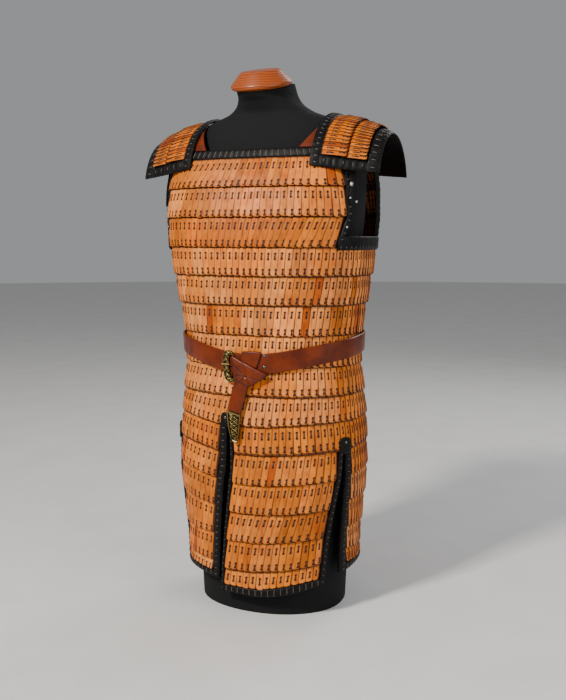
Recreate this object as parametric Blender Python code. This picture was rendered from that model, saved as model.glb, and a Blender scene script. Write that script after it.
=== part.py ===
"""Lamellar leather armour with a split skirt, shoulder guards and a belt, on a limbless dress form.

Metres, +Z up. The figure faces -Y and its left is +X. The form's flat base is at z = 0.
Angles round the body are in degrees from the front centre, positive towards the figure's left.
"""
import math

import bpy
import numpy as np
from mathutils import Matrix

# Rows of lamellae
WALL = 0.0022
STEP = 0.0016
FLARE = 0.0064
SCALLOP = 0.0035
OVERLAP = 0.008
PITCH = 0.0135
GAP = 0.0003
EDGE_GAP = 0.0007
BREAST_TOP = 0.914
LEAN_FADE = 0.05

# Leather edging
BINDING_WIDTH = 0.012
BINDING_IN = 0.0012
BINDING_OUT = WALL + STEP + FLARE
BINDING_GAP = 0.0008
HEM_WIDTH = 0.016
ARMHOLE_BAND_DROP = 0.0145
ARMHOLE_BAND_SEAT = (0.0062, 0.0048)
TOP_BINDING_HEIGHT = 0.017
TOP_BINDING_IN = 0.0006
TOP_BINDING_OUT = 0.0066
BINDING_CELL = 0.022
SLIT_HEAD_THICKNESS = 0.003

# Shoulder straps
STRAP_THICKNESS = 0.003
STRAP_INNER_EDGE = 0.06
STRAP_WIDTH_SHARE = 0.28
STRAP_REACH = 0.8
STRAP_DROP = 0.0011
STRAP_BEND = 2.5
STRAP_FOOT_ANGLE = 46.0
STRAP_FOOT_TURN = 12.0
STRAP_FOOT_GAP = 0.0014
STRAP_FOOT_OUT = 0.0035

# Belt
BELT_HALF = 0.0195
BELT_THICKNESS = 0.0035
BELT_IN = BINDING_OUT + 0.0008
BELT_OUT = BELT_IN + BELT_THICKNESS
BELT_STEPS = 80
BELT_LAYER_START = 0.0008
BELT_LAYER_PITCH = 0.0038
BELT_PIECE_THICKNESS = 0.0032

# Buckle, chape and rivets
BUCKLE_ANGLE = -10.0
BUCKLE_RISE = -0.0076
BUCKLE_LEAN = 45.0
BUCKLE_OUTER = (-10.5, 5.8, 0.0310)
BUCKLE_INNER = (-8.4, 2.4, 0.0235)
BUCKLE_STEPS = 24
PIN_ENDS = (-17.0, -9.6)
PIN_RISE = -0.0038
PIN_HALF_HEIGHT = 0.0026
CHAPE_THICKNESS = 0.005
CHAPE_GAP = 0.0004
CHAPE_SLOPE = 0.00062
CHAPE_SINK = 0.0008
RIVET_ANGLE = 19.6
RIVET_RADIUS = 0.0032
RIVET_RISE = 0.0018

ROWS = [
    # row number, visible height, how far the lower ends lean to the figure's right
    (1, 0.056, 0.008),
    (2, 0.058, 0.001),
    (3, 0.058, 0.009),
    (4, 0.056, 0.002),
    (5, 0.057, 0.006),
    (6, 0.059, 0.004),
    (7, 0.062, 0.004),
    (8, 0.058, 0.004),
    (9, 0.060, 0.007),
    (10, 0.056, 0.002),
    (11, 0.058, 0.006),
    (12, 0.061, 0.002),
    (13, 0.060, 0.009),
    (14, 0.057, 0.002),
    (15, 0.041, 0.001),
]

ARMOUR_SECTIONS = [
    # height, half width, depth in front, depth behind, squareness
    (0.030, 0.172, 0.142, 0.172, 2.1),
    (0.140, 0.176, 0.144, 0.172, 2.1),
    (0.280, 0.190, 0.150, 0.174, 2.2),
    (0.380, 0.189, 0.145, 0.168, 2.2),
    (0.460, 0.183, 0.137, 0.152, 2.2),
    (0.520, 0.178, 0.130, 0.138, 2.2),
    (0.580, 0.180, 0.132, 0.136, 2.3),
    (0.660, 0.193, 0.141, 0.142, 2.5),
    (0.740, 0.203, 0.147, 0.148, 2.8),
    (0.800, 0.207, 0.143, 0.150, 2.9),
    (0.860, 0.206, 0.130, 0.146, 3.0),
    (0.935, 0.200, 0.100, 0.130, 3.0),
]

ARMHOLE_EDGES = [
    # height, end of the front rows, end of the back rows
    (0.700, 60.0, 116.0),
    (0.742, 60.0, 116.0),
    (0.800, 66.0, 114.0),
    (0.935, 66.0, 114.0),
]

ARM_STRAP_GAP = 0.0008

BELT_LINE = [
    # angle, height of the belt's middle
    (-180.0, 0.5530),
    (-110.0, 0.5500),
    (-75.0, 0.5450),
    (-50.0, 0.5370),
    (-27.0, 0.5225),
    (-10.0, 0.5150),
    (8.0, 0.5140),
    (25.0, 0.5165),
    (45.0, 0.5275),
    (70.0, 0.5410),
    (100.0, 0.5500),
    (180.0, 0.5530),
]

RISE_MARKS = {
    # panel: angles at which its row lines are lifted, with the columns of ROW_RISES that lift them
    "front_right": [(-66.0, 1), (-45.0, 2), (-22.0, 3)],
    "front_left": [(-18.0, 4), (17.0, 5), (40.0, 6), (62.0, 7)],
    "back": [(74.0, 8), (100.0, 9), (180.0, 9), (260.0, 9), (286.0, 10)],
}
RISE_BLUR = np.linspace(-10.0, 10.0, 9)

ROW_RISES = [
    # height, then how much higher the row lines and hems hang at that height, by the columns above
    (0.041, 0.035, 0.034, 0.031, 0.008, 0.003, 0.013, 0.032, 0.043, 0.050, 0.043),
    (0.057, 0.031, 0.030, 0.027, 0.005, 0.004, 0.017, 0.028, 0.047, 0.042, 0.045),
    (0.098, 0.008, 0.009, 0.009, -0.006, -0.002, 0.005, 0.015, 0.037, 0.026, 0.034),
    (0.155, 0.009, 0.009, 0.012, 0.000, 0.001, 0.007, 0.012, 0.026, 0.018, 0.024),
    (0.215, 0.022, 0.017, 0.010, 0.000, 0.000, 0.003, 0.009, 0.021, 0.019, 0.022),
    (0.276, 0.020, 0.017, 0.007, 0.000, -0.001, 0.003, 0.007, 0.013, 0.016, 0.019),
    (0.334, 0.016, 0.013, 0.005, 0.001, 0.000, 0.004, 0.007, 0.008, 0.013, 0.016),
    (0.390, 0.013, 0.010, 0.002, 0.002, 0.000, 0.006, 0.009, 0.009, 0.011, 0.013),
    (0.450, 0.000, 0.000, 0.000, 0.000, 0.000, 0.000, 0.000, 0.000, 0.000, 0.000),
]

EDGING_WIDTHS = {
    # panel: width of the edging where the panel starts and where it ends
    "front_right": (0.012, 0.017),
    "front_left": (0.008, 0.010),
    "back": (0.018, 0.018),
}

SLIT_EDGES = [
    # height, front slit right, front slit left, left slit front, left slit back, right slit front, right slit back
    (0.040, -20.3, -19.1, 61.0, 73.5, -67.5, -76.5),
    (0.105, -19.5, -18.1, 62.5, 73.0, -68.0, -76.0),
    (0.170, -17.5, -15.0, 64.5, 72.5, -69.0, -75.0),
    (0.235, -15.0, -11.5, 67.0, 72.0, -69.5, -74.5),
    (0.300, -11.7, -8.2, 70.0, 72.2, -71.0, -73.2),
    (0.335, -11.4, -8.6, 71.0, 72.4, -71.0, -72.4),
    (0.400, -11.2, -9.8, 71.0, 72.4, -71.0, -72.4),
]

FORM_SECTIONS = [
    # height, half width, depth in front, depth behind, squareness
    (0.000, 0.154, 0.122, 0.150, 2.1),
    (0.120, 0.160, 0.126, 0.154, 2.1),
    (0.280, 0.172, 0.132, 0.158, 2.2),
    (0.380, 0.170, 0.126, 0.150, 2.2),
    (0.460, 0.161, 0.117, 0.134, 2.2),
    (0.520, 0.156, 0.112, 0.120, 2.2),
    (0.580, 0.160, 0.114, 0.118, 2.3),
    (0.660, 0.173, 0.122, 0.124, 2.4),
    (0.740, 0.184, 0.128, 0.130, 2.5),
    (0.800, 0.190, 0.124, 0.132, 2.5),
    (0.860, 0.194, 0.111, 0.128, 2.5),
    (0.910, 0.195, 0.095, 0.118, 2.4),
    (0.942, 0.190, 0.082, 0.108, 2.3),
    (0.965, 0.178, 0.072, 0.096, 2.2),
    (0.984, 0.155, 0.064, 0.084, 2.2),
    (0.998, 0.124, 0.060, 0.072, 2.1),
    (1.008, 0.096, 0.060, 0.060, 2.0),
    (1.020, 0.076, 0.066, 0.048, 2.0),
    (1.036, 0.063, 0.076, 0.036, 2.0),
    (1.058, 0.058, 0.086, 0.026, 2.0),
]
NECK_SHIFT = -0.010
NECK_START = 1.0
NECK_TILT_START = 1.03
NECK_TILT = 15.0
CAP_HALF_WIDTH = 0.062
CAP_THICKNESS = 0.034
CAP_BEVEL = 0.006
CAP_CENTRE = (-0.010, -0.0345, 1.0750)

GUARD_EDGES = [
    # share outwards, distance from the body's middle, ridge height, front height, middle depth, half depth
    (0.0, 0.128, 1.004, 0.896, 0.020, 0.134),
    (0.5, 0.193, 0.984, 0.887, 0.012, 0.108),
    (1.0, 0.257, 0.958, 0.880, 0.006, 0.082),
]
GUARD_ARCH = math.radians(76.0)
GUARD_LAMELLAE = 20
GUARD_INNER_ROW_END = 0.52
GUARD_OUTER_ROW_START = 0.44
GUARD_INNER_BORDER = 0.15
GUARD_OUTER_BORDER = 0.20
GUARD_END_BORDER = 0.13
GUARD_BORDER_ROOM = 0.004
GUARD_BORDER_CELLS = 10
GUARD_BORDER_THICKNESS = 0.0045

ARM_STRAP_CORNERS = [
    # angle, height
    (66.6, 0.820),
    (71.5, 0.826),
    (75.0, 0.945),
    (69.5, 0.925),
]

SLIT_HEADS = [
    # name, angle, half width in degrees, row under it, how far it reaches below and above that row's lower edge
    ("slit_head_front", -12.6, 4.4, 9, 0.002, 0.026),
    ("slit_head_left", 71.7, 4.0, 10, -0.001, 0.034),
    ("slit_head_right", -71.7, 4.0, 10, -0.002, 0.038),
]

BELT_PIECES = [
    # name, layer, cells across, cells up, corners as an angle and a height from the belt's middle at the buckle
    ("belt_fold", 0, 4, 2, [(-1.5, -0.002), (13.8, -0.010), (18.0, 0.0235), (1.0, 0.0235)]),
    ("belt_knot", 1, 6, 3, [(-6.0, -0.0305), (8.6, -0.0465), (24.2, -0.0205), (-8.8, 0.016)]),
    ("belt_tail", 0, 3, 4, [(-10.6, -0.0938), (1.3, -0.1012), (8.0, -0.034), (-4.5, -0.0275)]),
]

CHAPE_EDGES = [
    # depth below the belt's middle at the buckle, left angle, right angle
    (0.0938, -10.6, 1.3),
    (0.1120, -9.4, 1.0),
    (0.1290, -7.8, 0.6),
    (0.1430, -5.9, -0.1),
    (0.1510, -3.9, -0.9),
]

RIVETS = [
    # name, height from the belt's middle at the buckle
    ("belt_rivet_1", 0.0155),
    ("belt_rivet_2", -0.0065),
]

COLOURS = {
    # material: base colour, roughness, metallic
    "lamella_leather": ((0.62, 0.31, 0.11), 0.5, 0.0),
    "edging_leather": ((0.012, 0.012, 0.013), 0.42, 0.0),
    "belt_leather": ((0.20, 0.045, 0.018), 0.38, 0.0),
    "antique_brass": ((0.30, 0.23, 0.09), 0.42, 1.0),
    "steel_rivet": ((0.35, 0.35, 0.34), 0.35, 1.0),
    "form_jersey": ((0.010, 0.010, 0.012), 0.9, 0.0),
    "cap_wood": ((0.42, 0.15, 0.05), 0.35, 0.0),
}


def material(name):
    found = bpy.data.materials.get(name)
    if found:
        return found
    colour, roughness, metallic = COLOURS[name]
    made = bpy.data.materials.new(name)
    made.use_nodes = True
    shader = made.node_tree.nodes["Principled BSDF"]
    shader.inputs["Base Color"].default_value = (*colour, 1.0)
    shader.inputs["Roughness"].default_value = roughness
    shader.inputs["Metallic"].default_value = metallic
    return made


def add_object(name, points, faces, slot):
    """One closed mesh with its faces turned outwards."""
    mesh = bpy.data.meshes.new(name)
    mesh.from_pydata([tuple(p) for p in points], [], [tuple(f) for f in faces])
    mesh.validate()
    corners = np.array([p for p in points], float)
    mesh.calc_loop_triangles()
    volume = 0.0
    for triangle in mesh.loop_triangles:
        a, b, c = corners[list(triangle.vertices)]
        volume += float(np.dot(a, np.cross(b, c)))
    if volume < 0:
        mesh.flip_normals()
    mesh.materials.append(material(slot))
    made = bpy.data.objects.new(name, mesh)
    bpy.context.scene.collection.objects.link(made)
    mesh.shade_smooth()
    mesh.set_sharp_from_angle(angle=math.radians(35))
    return made


def column(table, index, height):
    return np.interp(height, [row[0] for row in table], [row[index] for row in table])


def round_body(table, angle, height, offset):
    """A point at an angle and height of a table's squared ellipse, moved out level by offset."""
    angle, height, offset = np.broadcast_arrays(
        np.radians(np.asarray(angle, float)), np.asarray(height, float), np.asarray(offset, float)
    )
    sine, cosine = np.sin(angle), np.cos(angle)
    wide = column(table, 1, height)
    deep = np.where(cosine >= 0, column(table, 2, height), column(table, 3, height))
    power = column(table, 4, height)
    reach = ((np.abs(sine) / wide) ** power + (np.abs(cosine) / deep) ** power) ** (-1 / power)
    x, y = reach * sine, -reach * cosine
    out_x = np.sign(x) * np.abs(x) ** (power - 1) / wide**power
    out_y = np.sign(y) * np.abs(y) ** (power - 1) / deep**power
    length = np.hypot(out_x, out_y)
    return np.stack([x + offset * out_x / length, y + offset * out_y / length, height], axis=-1)


def armour(angle, height, offset):
    return round_body(ARMOUR_SECTIONS, angle, height, offset)


def row_rise(marks, angle, height):
    """How much higher a piece hangs at an angle and height, blurred round the body."""
    angles = [mark for mark, _ in marks]
    rises = [column(ROW_RISES, index, height) for _, index in marks]
    return float(np.interp(angle + RISE_BLUR, angles, rises).mean())


def hung(panel):
    """Places points of a skirt panel, or of a whole ring, on the armour with its row lines lifted."""
    marks = RISE_MARKS.get(panel)
    if marks is None:
        once = [mark for name in ("front_right", "front_left", "back") for mark in RISE_MARKS[name]]
        marks = sorted((mark + 360.0 * turn, index) for turn in (-1, 0, 1) for mark, index in once)

    def place(angle, height, offset):
        return armour(angle, height + row_rise(marks, angle, height), offset)

    return place


def row_limits(number):
    """The lower and upper edge of a row, with the overlap that the row above hides."""
    top = BREAST_TOP - sum(height for row, height, _ in ROWS if row < number)
    low = top - ROWS[number - 1][1]
    return low, top if number == 1 else top + OVERLAP


def even_stops(start, end, height, count, lean):
    """Angles that part a row into equal lengths, moved by lean except near its ends."""
    fine = np.linspace(start, end, 361)
    places = armour(fine, height, 0.0)
    run = np.concatenate([[0.0], np.cumsum(np.linalg.norm(np.diff(places, axis=0), axis=1))])
    wanted = np.linspace(0.0, run[-1], count + 1)
    if end - start < 359.9:
        inside = np.minimum(wanted, run[-1] - wanted) / LEAN_FADE
        wanted = wanted - lean * np.clip(inside, 0.0, 1.0)
        return np.interp(wanted, run, fine)
    return np.interp(wanted - lean, np.append(run - run[-1], run[1:]), np.append(fine - 360.0, fine[1:]))


def arc_length(start, end, height):
    places = armour(np.linspace(start, end, 181), height, 0.0)
    return float(np.linalg.norm(np.diff(places, axis=0), axis=1).sum())


def bridge(faces, first, first_run, second, second_run):
    """Triangles between two lines of points, each step taken on the line that is behind."""
    i = j = 0
    while i < len(first) - 1 or j < len(second) - 1:
        take_first = j == len(second) - 1 or (i < len(first) - 1 and first_run[i + 1] <= second_run[j + 1])
        if take_first:
            faces.append((first[i], first[i + 1], second[j]))
            i += 1
        else:
            faces.append((first[i], second[j + 1], second[j]))
            j += 1


def laced_row(name, place, high, low, high_stops, low_stops, closed, inner_step=2):
    """A row of lamellae. Each one's free edge stands up on the one before, and its lower end is cut round."""
    count = len(low_stops) - 1
    points, faces = [], []

    def line(stops, level, lift, raised, cut):
        """Outer points, two at each inner stop: the sunk side of one lamella, then the free edge of the next."""
        made, run = [], []
        for k, stop in enumerate(stops):
            if k > 0:
                made.append(place(stop, level, lift + WALL))
                run.append(k)
            if k < count:
                made.append(place(stop, level + cut, lift + WALL + raised))
                run.append(k)
        return made, run

    def inner_line(stops, level, lift):
        picks = sorted(set(range(0, count + 1, inner_step)) | {count})
        return [place(stops[k], level, lift) for k in picks], picks

    rise = SCALLOP if high > low else -SCALLOP
    lines = [
        line(high_stops, high, 0.0, STEP, 0.0),
        line(low_stops, low, FLARE, STEP, rise),
        inner_line(low_stops, low, FLARE),
        inner_line(high_stops, high, 0.0),
    ]
    numbers = []
    for made, run in lines:
        if closed and len(made) == 2 * count:
            ids = list(range(len(points), len(points) + len(made)))
            points.extend(made)
            ids, run = ids + [ids[0]], run + [count]
        elif closed:
            ids = list(range(len(points), len(points) + len(made) - 1))
            points.extend(made[:-1])
            ids = ids + [ids[0]]
        else:
            ids = list(range(len(points), len(points) + len(made)))
            points.extend(made)
        numbers.append((ids, run))
    for k in range(4):
        ids, run = numbers[k]
        next_ids, next_run = numbers[(k + 1) % 4]
        bridge(faces, ids, run, next_ids, next_run)
    if not closed:
        faces.append(tuple(numbers[k][0][0] for k in range(4)))
        faces.append(tuple(numbers[k][0][-1] for k in reversed(range(4))))
    return add_object(name, points, faces, "lamella_leather")


def body_row(name, number, start, end, closed=False, place=armour):
    """A row round the body. start and end give the angle of its ends at a height."""
    low, high = row_limits(number)
    lean = ROWS[number - 1][2]
    middle = (low + high) / 2
    count = 2 * round(arc_length(start(middle), end(middle), middle) / PITCH / 2)
    high_stops = even_stops(start(high), end(high), high, count, 0.0)
    low_stops = even_stops(start(low), end(low), low, count, lean)
    inner_step = 1 if number < 4 else 2
    return laced_row(name, place, high, low, high_stops, low_stops, closed, inner_step)


def cell_plate(name, place, across, along, kept, inside, outside, slot):
    """A plate of the kept cells of a grid, from one offset to another."""
    ids, points, faces = {}, [], []

    def point(i, j, level):
        key = (i, j, level)
        if key not in ids:
            ids[key] = len(points)
            points.append(place(across[i], along[j], outside if level else inside))
        return ids[key]

    cells = {
        (i, j) for i in range(len(across) - 1) for j in range(len(along) - 1) if kept(i, j)
    }
    for i, j in sorted(cells):
        ring = [(i, j), (i + 1, j), (i + 1, j + 1), (i, j + 1)]
        faces.append([point(*corner, 1) for corner in ring])
        faces.append([point(*corner, 0) for corner in reversed(ring)])
        sides = [(i, j - 1), (i + 1, j), (i, j + 1), (i - 1, j)]
        for k, neighbour in enumerate(sides):
            if neighbour in cells:
                continue
            a, b = ring[k], ring[(k + 1) % 4]
            faces.append([point(*a, 0), point(*b, 0), point(*b, 1), point(*a, 1)])
    return add_object(name, points, faces, slot)


def whole(_i, _j):
    return True


def edge_angle(index):
    """The angle of one slit edge at a height."""
    return lambda height: float(column(SLIT_EDGES, index, height))


def inset(edge, distance):
    """An edge's angle moved round the body by a distance, positive towards the figure's left."""

    def angle(height):
        at = edge(height)
        per_degree = np.linalg.norm(armour(at + 0.5, height, 0.0) - armour(at - 0.5, height, 0.0))
        return at + distance / float(per_degree)

    return angle


def trimmed(edge, width):
    """An edge with room for its edging: width is below 0 for the edge where a panel ends."""
    return inset(edge, width + math.copysign(EDGE_GAP, width))


def shifted(edge, degrees):
    return lambda height: edge(height) + degrees


def armhole_angle(index, sign):
    return lambda height: sign * float(column(ARMHOLE_EDGES, index, height))


def make_body_rows():
    for number in (1, 2, 3):
        body_row(f"breast_row_{number}", number, armhole_angle(1, -1), armhole_angle(1, 1))
        back_end = armhole_angle(2, -1)
        body_row(f"back_row_{number}", number, armhole_angle(2, 1), shifted(back_end, 360.0))
    for number in range(4, 10):
        place = armour if number < 9 else hung("ring")
        body_row(f"body_row_{number}", number, lambda _: -180.0, lambda _: 180.0, True, place)
    start = trimmed(edge_angle(2), EDGING_WIDTHS["front_left"][0])
    end = shifted(trimmed(edge_angle(1), -EDGING_WIDTHS["front_right"][1]), 360.0)
    body_row("body_row_10", 10, start, end, place=hung("ring"))


def skirt_panels():
    """Each panel's name, the edge where it starts and the edge where it ends."""
    return [
        ("front_left", edge_angle(2), edge_angle(3)),
        ("back", edge_angle(4), shifted(edge_angle(6), 360.0)),
        ("front_right", edge_angle(5), edge_angle(1)),
    ]


def make_skirt():
    for panel, start, end in skirt_panels():
        first, last = EDGING_WIDTHS[panel]
        for number in range(11, 16):
            name = f"skirt_{panel}_row_{number}"
            body_row(name, number, trimmed(start, first), trimmed(end, -last), place=hung(panel))
        make_skirt_binding(panel, start, end)


def binding_shares(length):
    """Stops across a bound piece: its two edges at -1 and 2, and its inside from 0 to 1."""
    return [-1.0, *np.linspace(0.0, 1.0, max(5, round(length / BINDING_CELL))), 2.0]


def edged_angle(share, start, end, height, widths=(BINDING_WIDTH, BINDING_WIDTH)):
    """The angle of a stop: below 0 and above 1 it is on the outer edge of the binding."""
    if share < 0.0:
        return start(height)
    if share > 1.0:
        return end(height)
    first = inset(start, widths[0])(height)
    last = inset(end, -widths[1])(height)
    return first + (last - first) * share


def make_skirt_binding(panel, start, end):
    """Edging round both slit edges and the hem of one panel."""
    hem_top = row_limits(15)[0] - BINDING_GAP
    side_top = row_limits(10)[0] - BINDING_GAP
    front_top = row_limits(9)[0] - BINDING_GAP
    heights = [hem_top - HEM_WIDTH, hem_top]
    heights += [row_limits(number)[0] for number in (14, 13, 12, 11)]
    heights += [side_top, (side_top + front_top) / 2, front_top]
    shares = binding_shares(arc_length(start(hem_top), end(hem_top), hem_top))
    last_column, side_cells = len(shares) - 2, len(heights) - 4
    on_panel = hung(panel)

    def place(share, height, offset):
        return on_panel(edged_angle(share, start, end, height, EDGING_WIDTHS[panel]), height, offset)

    def kept(i, j):
        if j == 0:
            return True
        tall = (panel == "front_left" and i == 0) or (panel == "front_right" and i == last_column)
        return i in (0, last_column) and (tall or j <= side_cells)

    cell_plate(
        f"skirt_binding_{panel}", place, shares, heights, kept, BINDING_IN, BINDING_OUT, "edging_leather"
    )


def make_slit_heads():
    """Small patches that cover the top of each slit, over the rows and the edging."""
    inside = BINDING_OUT + GAP
    for name, angle, half, number, below, above in SLIT_HEADS:
        edge = row_limits(number)[0]
        low, high = edge - below, edge + above
        cell_plate(
            name,
            armour,
            [angle - half, angle, angle + half],
            [low, (low + high) / 2, high],
            whole,
            inside,
            inside + SLIT_HEAD_THICKNESS,
            "edging_leather",
        )


def make_top_bindings():
    low = row_limits(1)[1] + GAP
    for name, middle, half in (("top_binding_front", 0.0, 64.0), ("top_binding_back", 180.0, 62.0)):
        cell_plate(
            name,
            armour,
            np.linspace(middle - half, middle + half, 25),
            [low, low + TOP_BINDING_HEIGHT],
            whole,
            TOP_BINDING_IN,
            TOP_BINDING_OUT,
            "edging_leather",
        )


def make_armhole_bindings():
    """A band down the front edge, over the top of row 4 and up the back edge of each armhole."""
    low = row_limits(4)[1] + GAP
    top = row_limits(1)[1]
    heights = [low - ARMHOLE_BAND_DROP, low, low + BINDING_WIDTH, row_limits(2)[0], row_limits(1)[0], top]
    start = inset(armhole_angle(1, 1), EDGE_GAP)
    end = inset(armhole_angle(2, 1), -EDGE_GAP)
    shares = binding_shares(arc_length(start(low), end(low), low))
    last = len(shares) - 2
    for side, sign in (("left", 1), ("right", -1)):

        def place(share, height, offset):
            if height <= low:
                offset = max(offset, float(np.interp(height, heights[:2], ARMHOLE_BAND_SEAT)))
            return armour(sign * edged_angle(share, start, end, height), height, offset)

        cell_plate(
            f"armhole_binding_{side}",
            place,
            shares,
            heights,
            lambda i, j: j <= 1 or i in (0, last),
            BINDING_IN,
            BINDING_OUT,
            "edging_leather",
        )


def guard_middle(share, outwards):
    """A point of a left guard's middle surface: share runs from -1 at the front to +1 at the back."""
    reach = column(GUARD_EDGES, 1, outwards)
    ridge = column(GUARD_EDGES, 2, outwards)
    front = column(GUARD_EDGES, 3, outwards)
    middle = column(GUARD_EDGES, 4, outwards)
    half = column(GUARD_EDGES, 5, outwards)
    turn = share * GUARD_ARCH
    y = middle + half * math.sin(turn) / math.sin(GUARD_ARCH)
    z = ridge - (ridge - front) * (1 - math.cos(turn)) / (1 - math.cos(GUARD_ARCH))
    return np.array([float(reach), float(y), float(z)])


def offset_from(surface, first, second, offset):
    """A surface point moved along the surface's own normal, which points up."""
    small = 0.002
    along = surface(first + small, second) - surface(first - small, second)
    across = surface(first, second + small) - surface(first, second - small)
    normal = np.cross(along, across)
    if normal[2] < 0:
        normal = -normal
    return surface(first, second) + offset * normal / np.linalg.norm(normal)


def mirrored(sign, point):
    return point * np.array([sign, 1.0, 1.0])


def guard_stops(outwards, count):
    fine = np.linspace(-1 + GUARD_END_BORDER, 1 - GUARD_END_BORDER, 121)
    places = np.array([guard_middle(share, outwards) for share in fine])
    run = np.concatenate([[0.0], np.cumsum(np.linalg.norm(np.diff(places, axis=0), axis=1))])
    return np.interp(np.linspace(0.0, run[-1], count + 1), run, fine)


def make_guards():
    """Each guard: an inner row that overlaps an outer row, inside a black border."""
    inner_border, outer_border = GUARD_INNER_BORDER, 1.0 - GUARD_OUTER_BORDER
    rows = [
        # name, upper edge, lower edge as shares outwards
        ("inner", inner_border, GUARD_INNER_ROW_END),
        ("outer", GUARD_OUTER_ROW_START, outer_border),
    ]
    room = GUARD_BORDER_ROOM
    outs = [0.0, inner_border - room, 0.5, outer_border + room, 1.0]
    ends = 1.0 - GUARD_END_BORDER + room
    shares = [-1.0, *np.linspace(-ends, ends, GUARD_BORDER_CELLS + 1), 1.0]
    for side, sign in (("left", 1), ("right", -1)):

        def place(share, outwards, offset):
            return mirrored(sign, offset_from(guard_middle, share, abs(outwards), offset))

        for row, high, low in rows:
            laced_row(
                f"guard_{side}_{row}_row",
                lambda stop, level, offset: place(stop, -level, offset),
                -high,
                -low,
                guard_stops(high, GUARD_LAMELLAE),
                guard_stops(low, GUARD_LAMELLAE),
                False,
            )
        cell_plate(
            f"guard_{side}_border",
            place,
            shares,
            outs,
            lambda i, j: i in (0, len(shares) - 2) or j in (0, len(outs) - 2),
            0.0,
            GUARD_BORDER_THICKNESS,
            "edging_leather",
        )


def strap_middle(share, across):
    """A point of a left strap's upper face, under the guard and down to the top bindings at both ends."""
    drop = np.array([0.0, 0.0, STRAP_DROP])
    outwards = STRAP_INNER_EDGE + STRAP_WIDTH_SHARE * across
    under = guard_middle(share * STRAP_REACH, outwards) - drop
    end = guard_middle(math.copysign(STRAP_REACH, share), outwards) - drop
    angle = STRAP_FOOT_ANGLE + STRAP_FOOT_TURN * across
    foot_height = row_limits(1)[1] + GAP + TOP_BINDING_HEIGHT + STRAP_FOOT_GAP
    foot = armour(angle if share < 0 else 180.0 - angle, foot_height, STRAP_FOOT_OUT)
    return under + (foot - end) * abs(share) ** STRAP_BEND


def make_shoulder_straps():
    """A strap under each guard, from the front top binding over the form's shoulder to the back one."""
    for side, sign in (("left", 1), ("right", -1)):

        def place(share, across, offset):
            return mirrored(sign, offset_from(strap_middle, share, across, offset))

        cell_plate(
            f"shoulder_strap_{side}",
            place,
            np.linspace(-1.0, 1.0, 15),
            [0.0, 0.5, 1.0],
            whole,
            -STRAP_THICKNESS,
            0.0,
            "belt_leather",
        )


def make_arm_straps():
    """A strap on each side, from the front edge of the armhole up to the underside of the guard."""
    corners = np.array(ARM_STRAP_CORNERS)
    inside = BINDING_OUT + ARM_STRAP_GAP
    for side, sign in (("left", 1), ("right", -1)):

        def place(across, up, offset):
            low = corners[0] + (corners[1] - corners[0]) * across
            high = corners[3] + (corners[2] - corners[3]) * across
            angle, height = low + (high - low) * up
            return armour(sign * angle, height, offset)

        cell_plate(
            f"arm_strap_{side}",
            place,
            [0.0, 0.5, 1.0],
            np.linspace(0.0, 1.0, 6),
            whole,
            inside,
            inside + STRAP_THICKNESS,
            "edging_leather",
        )


def belt_middle(angle):
    angles, heights = zip(*BELT_LINE)
    return float(np.interp(angle + RISE_BLUR, angles, heights, period=360.0).mean())


def on_belt(angle, height, offset):
    """A point on the belt, which is straight between its edges, or on the armour below it."""
    low, high = belt_middle(angle) - BELT_HALF, belt_middle(angle) + BELT_HALF
    if height <= low:
        return armour(angle, height, offset)
    share = (height - low) / (high - low)
    return armour(angle, low, offset) * (1 - share) + armour(angle, high, offset) * share


def ring_band(name, middle, half, inside, outside, steps, slot):
    """A closed band round the armour."""
    points, faces = [], []
    for k in range(steps):
        angle = -180.0 + 360.0 * k / steps
        height = middle(angle)
        for offset, level in ((inside, -half), (outside, -half), (outside, half), (inside, half)):
            points.append(armour(angle, height + level, offset))
    for k in range(steps):
        following = (k + 1) % steps
        for corner in range(4):
            other = (corner + 1) % 4
            faces.append(
                (4 * k + corner, 4 * k + other, 4 * following + other, 4 * following + corner)
            )
    return add_object(name, points, faces, slot)


def quad_strip(name, corners, inside, outside, cells, slot):
    """A strap end laid on the armour, between four corners given as angle and height."""
    grid = np.array(corners, float)

    def place(first, second, offset):
        low = grid[0] + (grid[1] - grid[0]) * first
        high = grid[3] + (grid[2] - grid[3]) * first
        angle, height = low + (high - low) * second
        return on_belt(angle, height, offset)

    return cell_plate(
        name, place, np.linspace(0, 1, cells[0] + 1), np.linspace(0, 1, cells[1] + 1), whole, inside, outside, slot
    )


def squared(value, power):
    """A sine or cosine bent towards a square by a power below 1."""
    return math.copysign(abs(value) ** power, value)


def flat_loop(name, outer, inner, inside, outside, slot):
    """A flat frame on the belt, between an outer and an inner closed line of angles and heights."""
    points, faces = [], []
    count = len(outer)
    for k in range(count):
        for line, offset in ((outer, inside), (outer, outside), (inner, outside), (inner, inside)):
            points.append(on_belt(line[k][0], line[k][1], offset))
    for k in range(count):
        following = (k + 1) % count
        for corner in range(4):
            other = (corner + 1) % 4
            faces.append((4 * k + corner, 4 * k + other, 4 * following + other, 4 * following + corner))
    return add_object(name, points, faces, slot)


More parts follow.
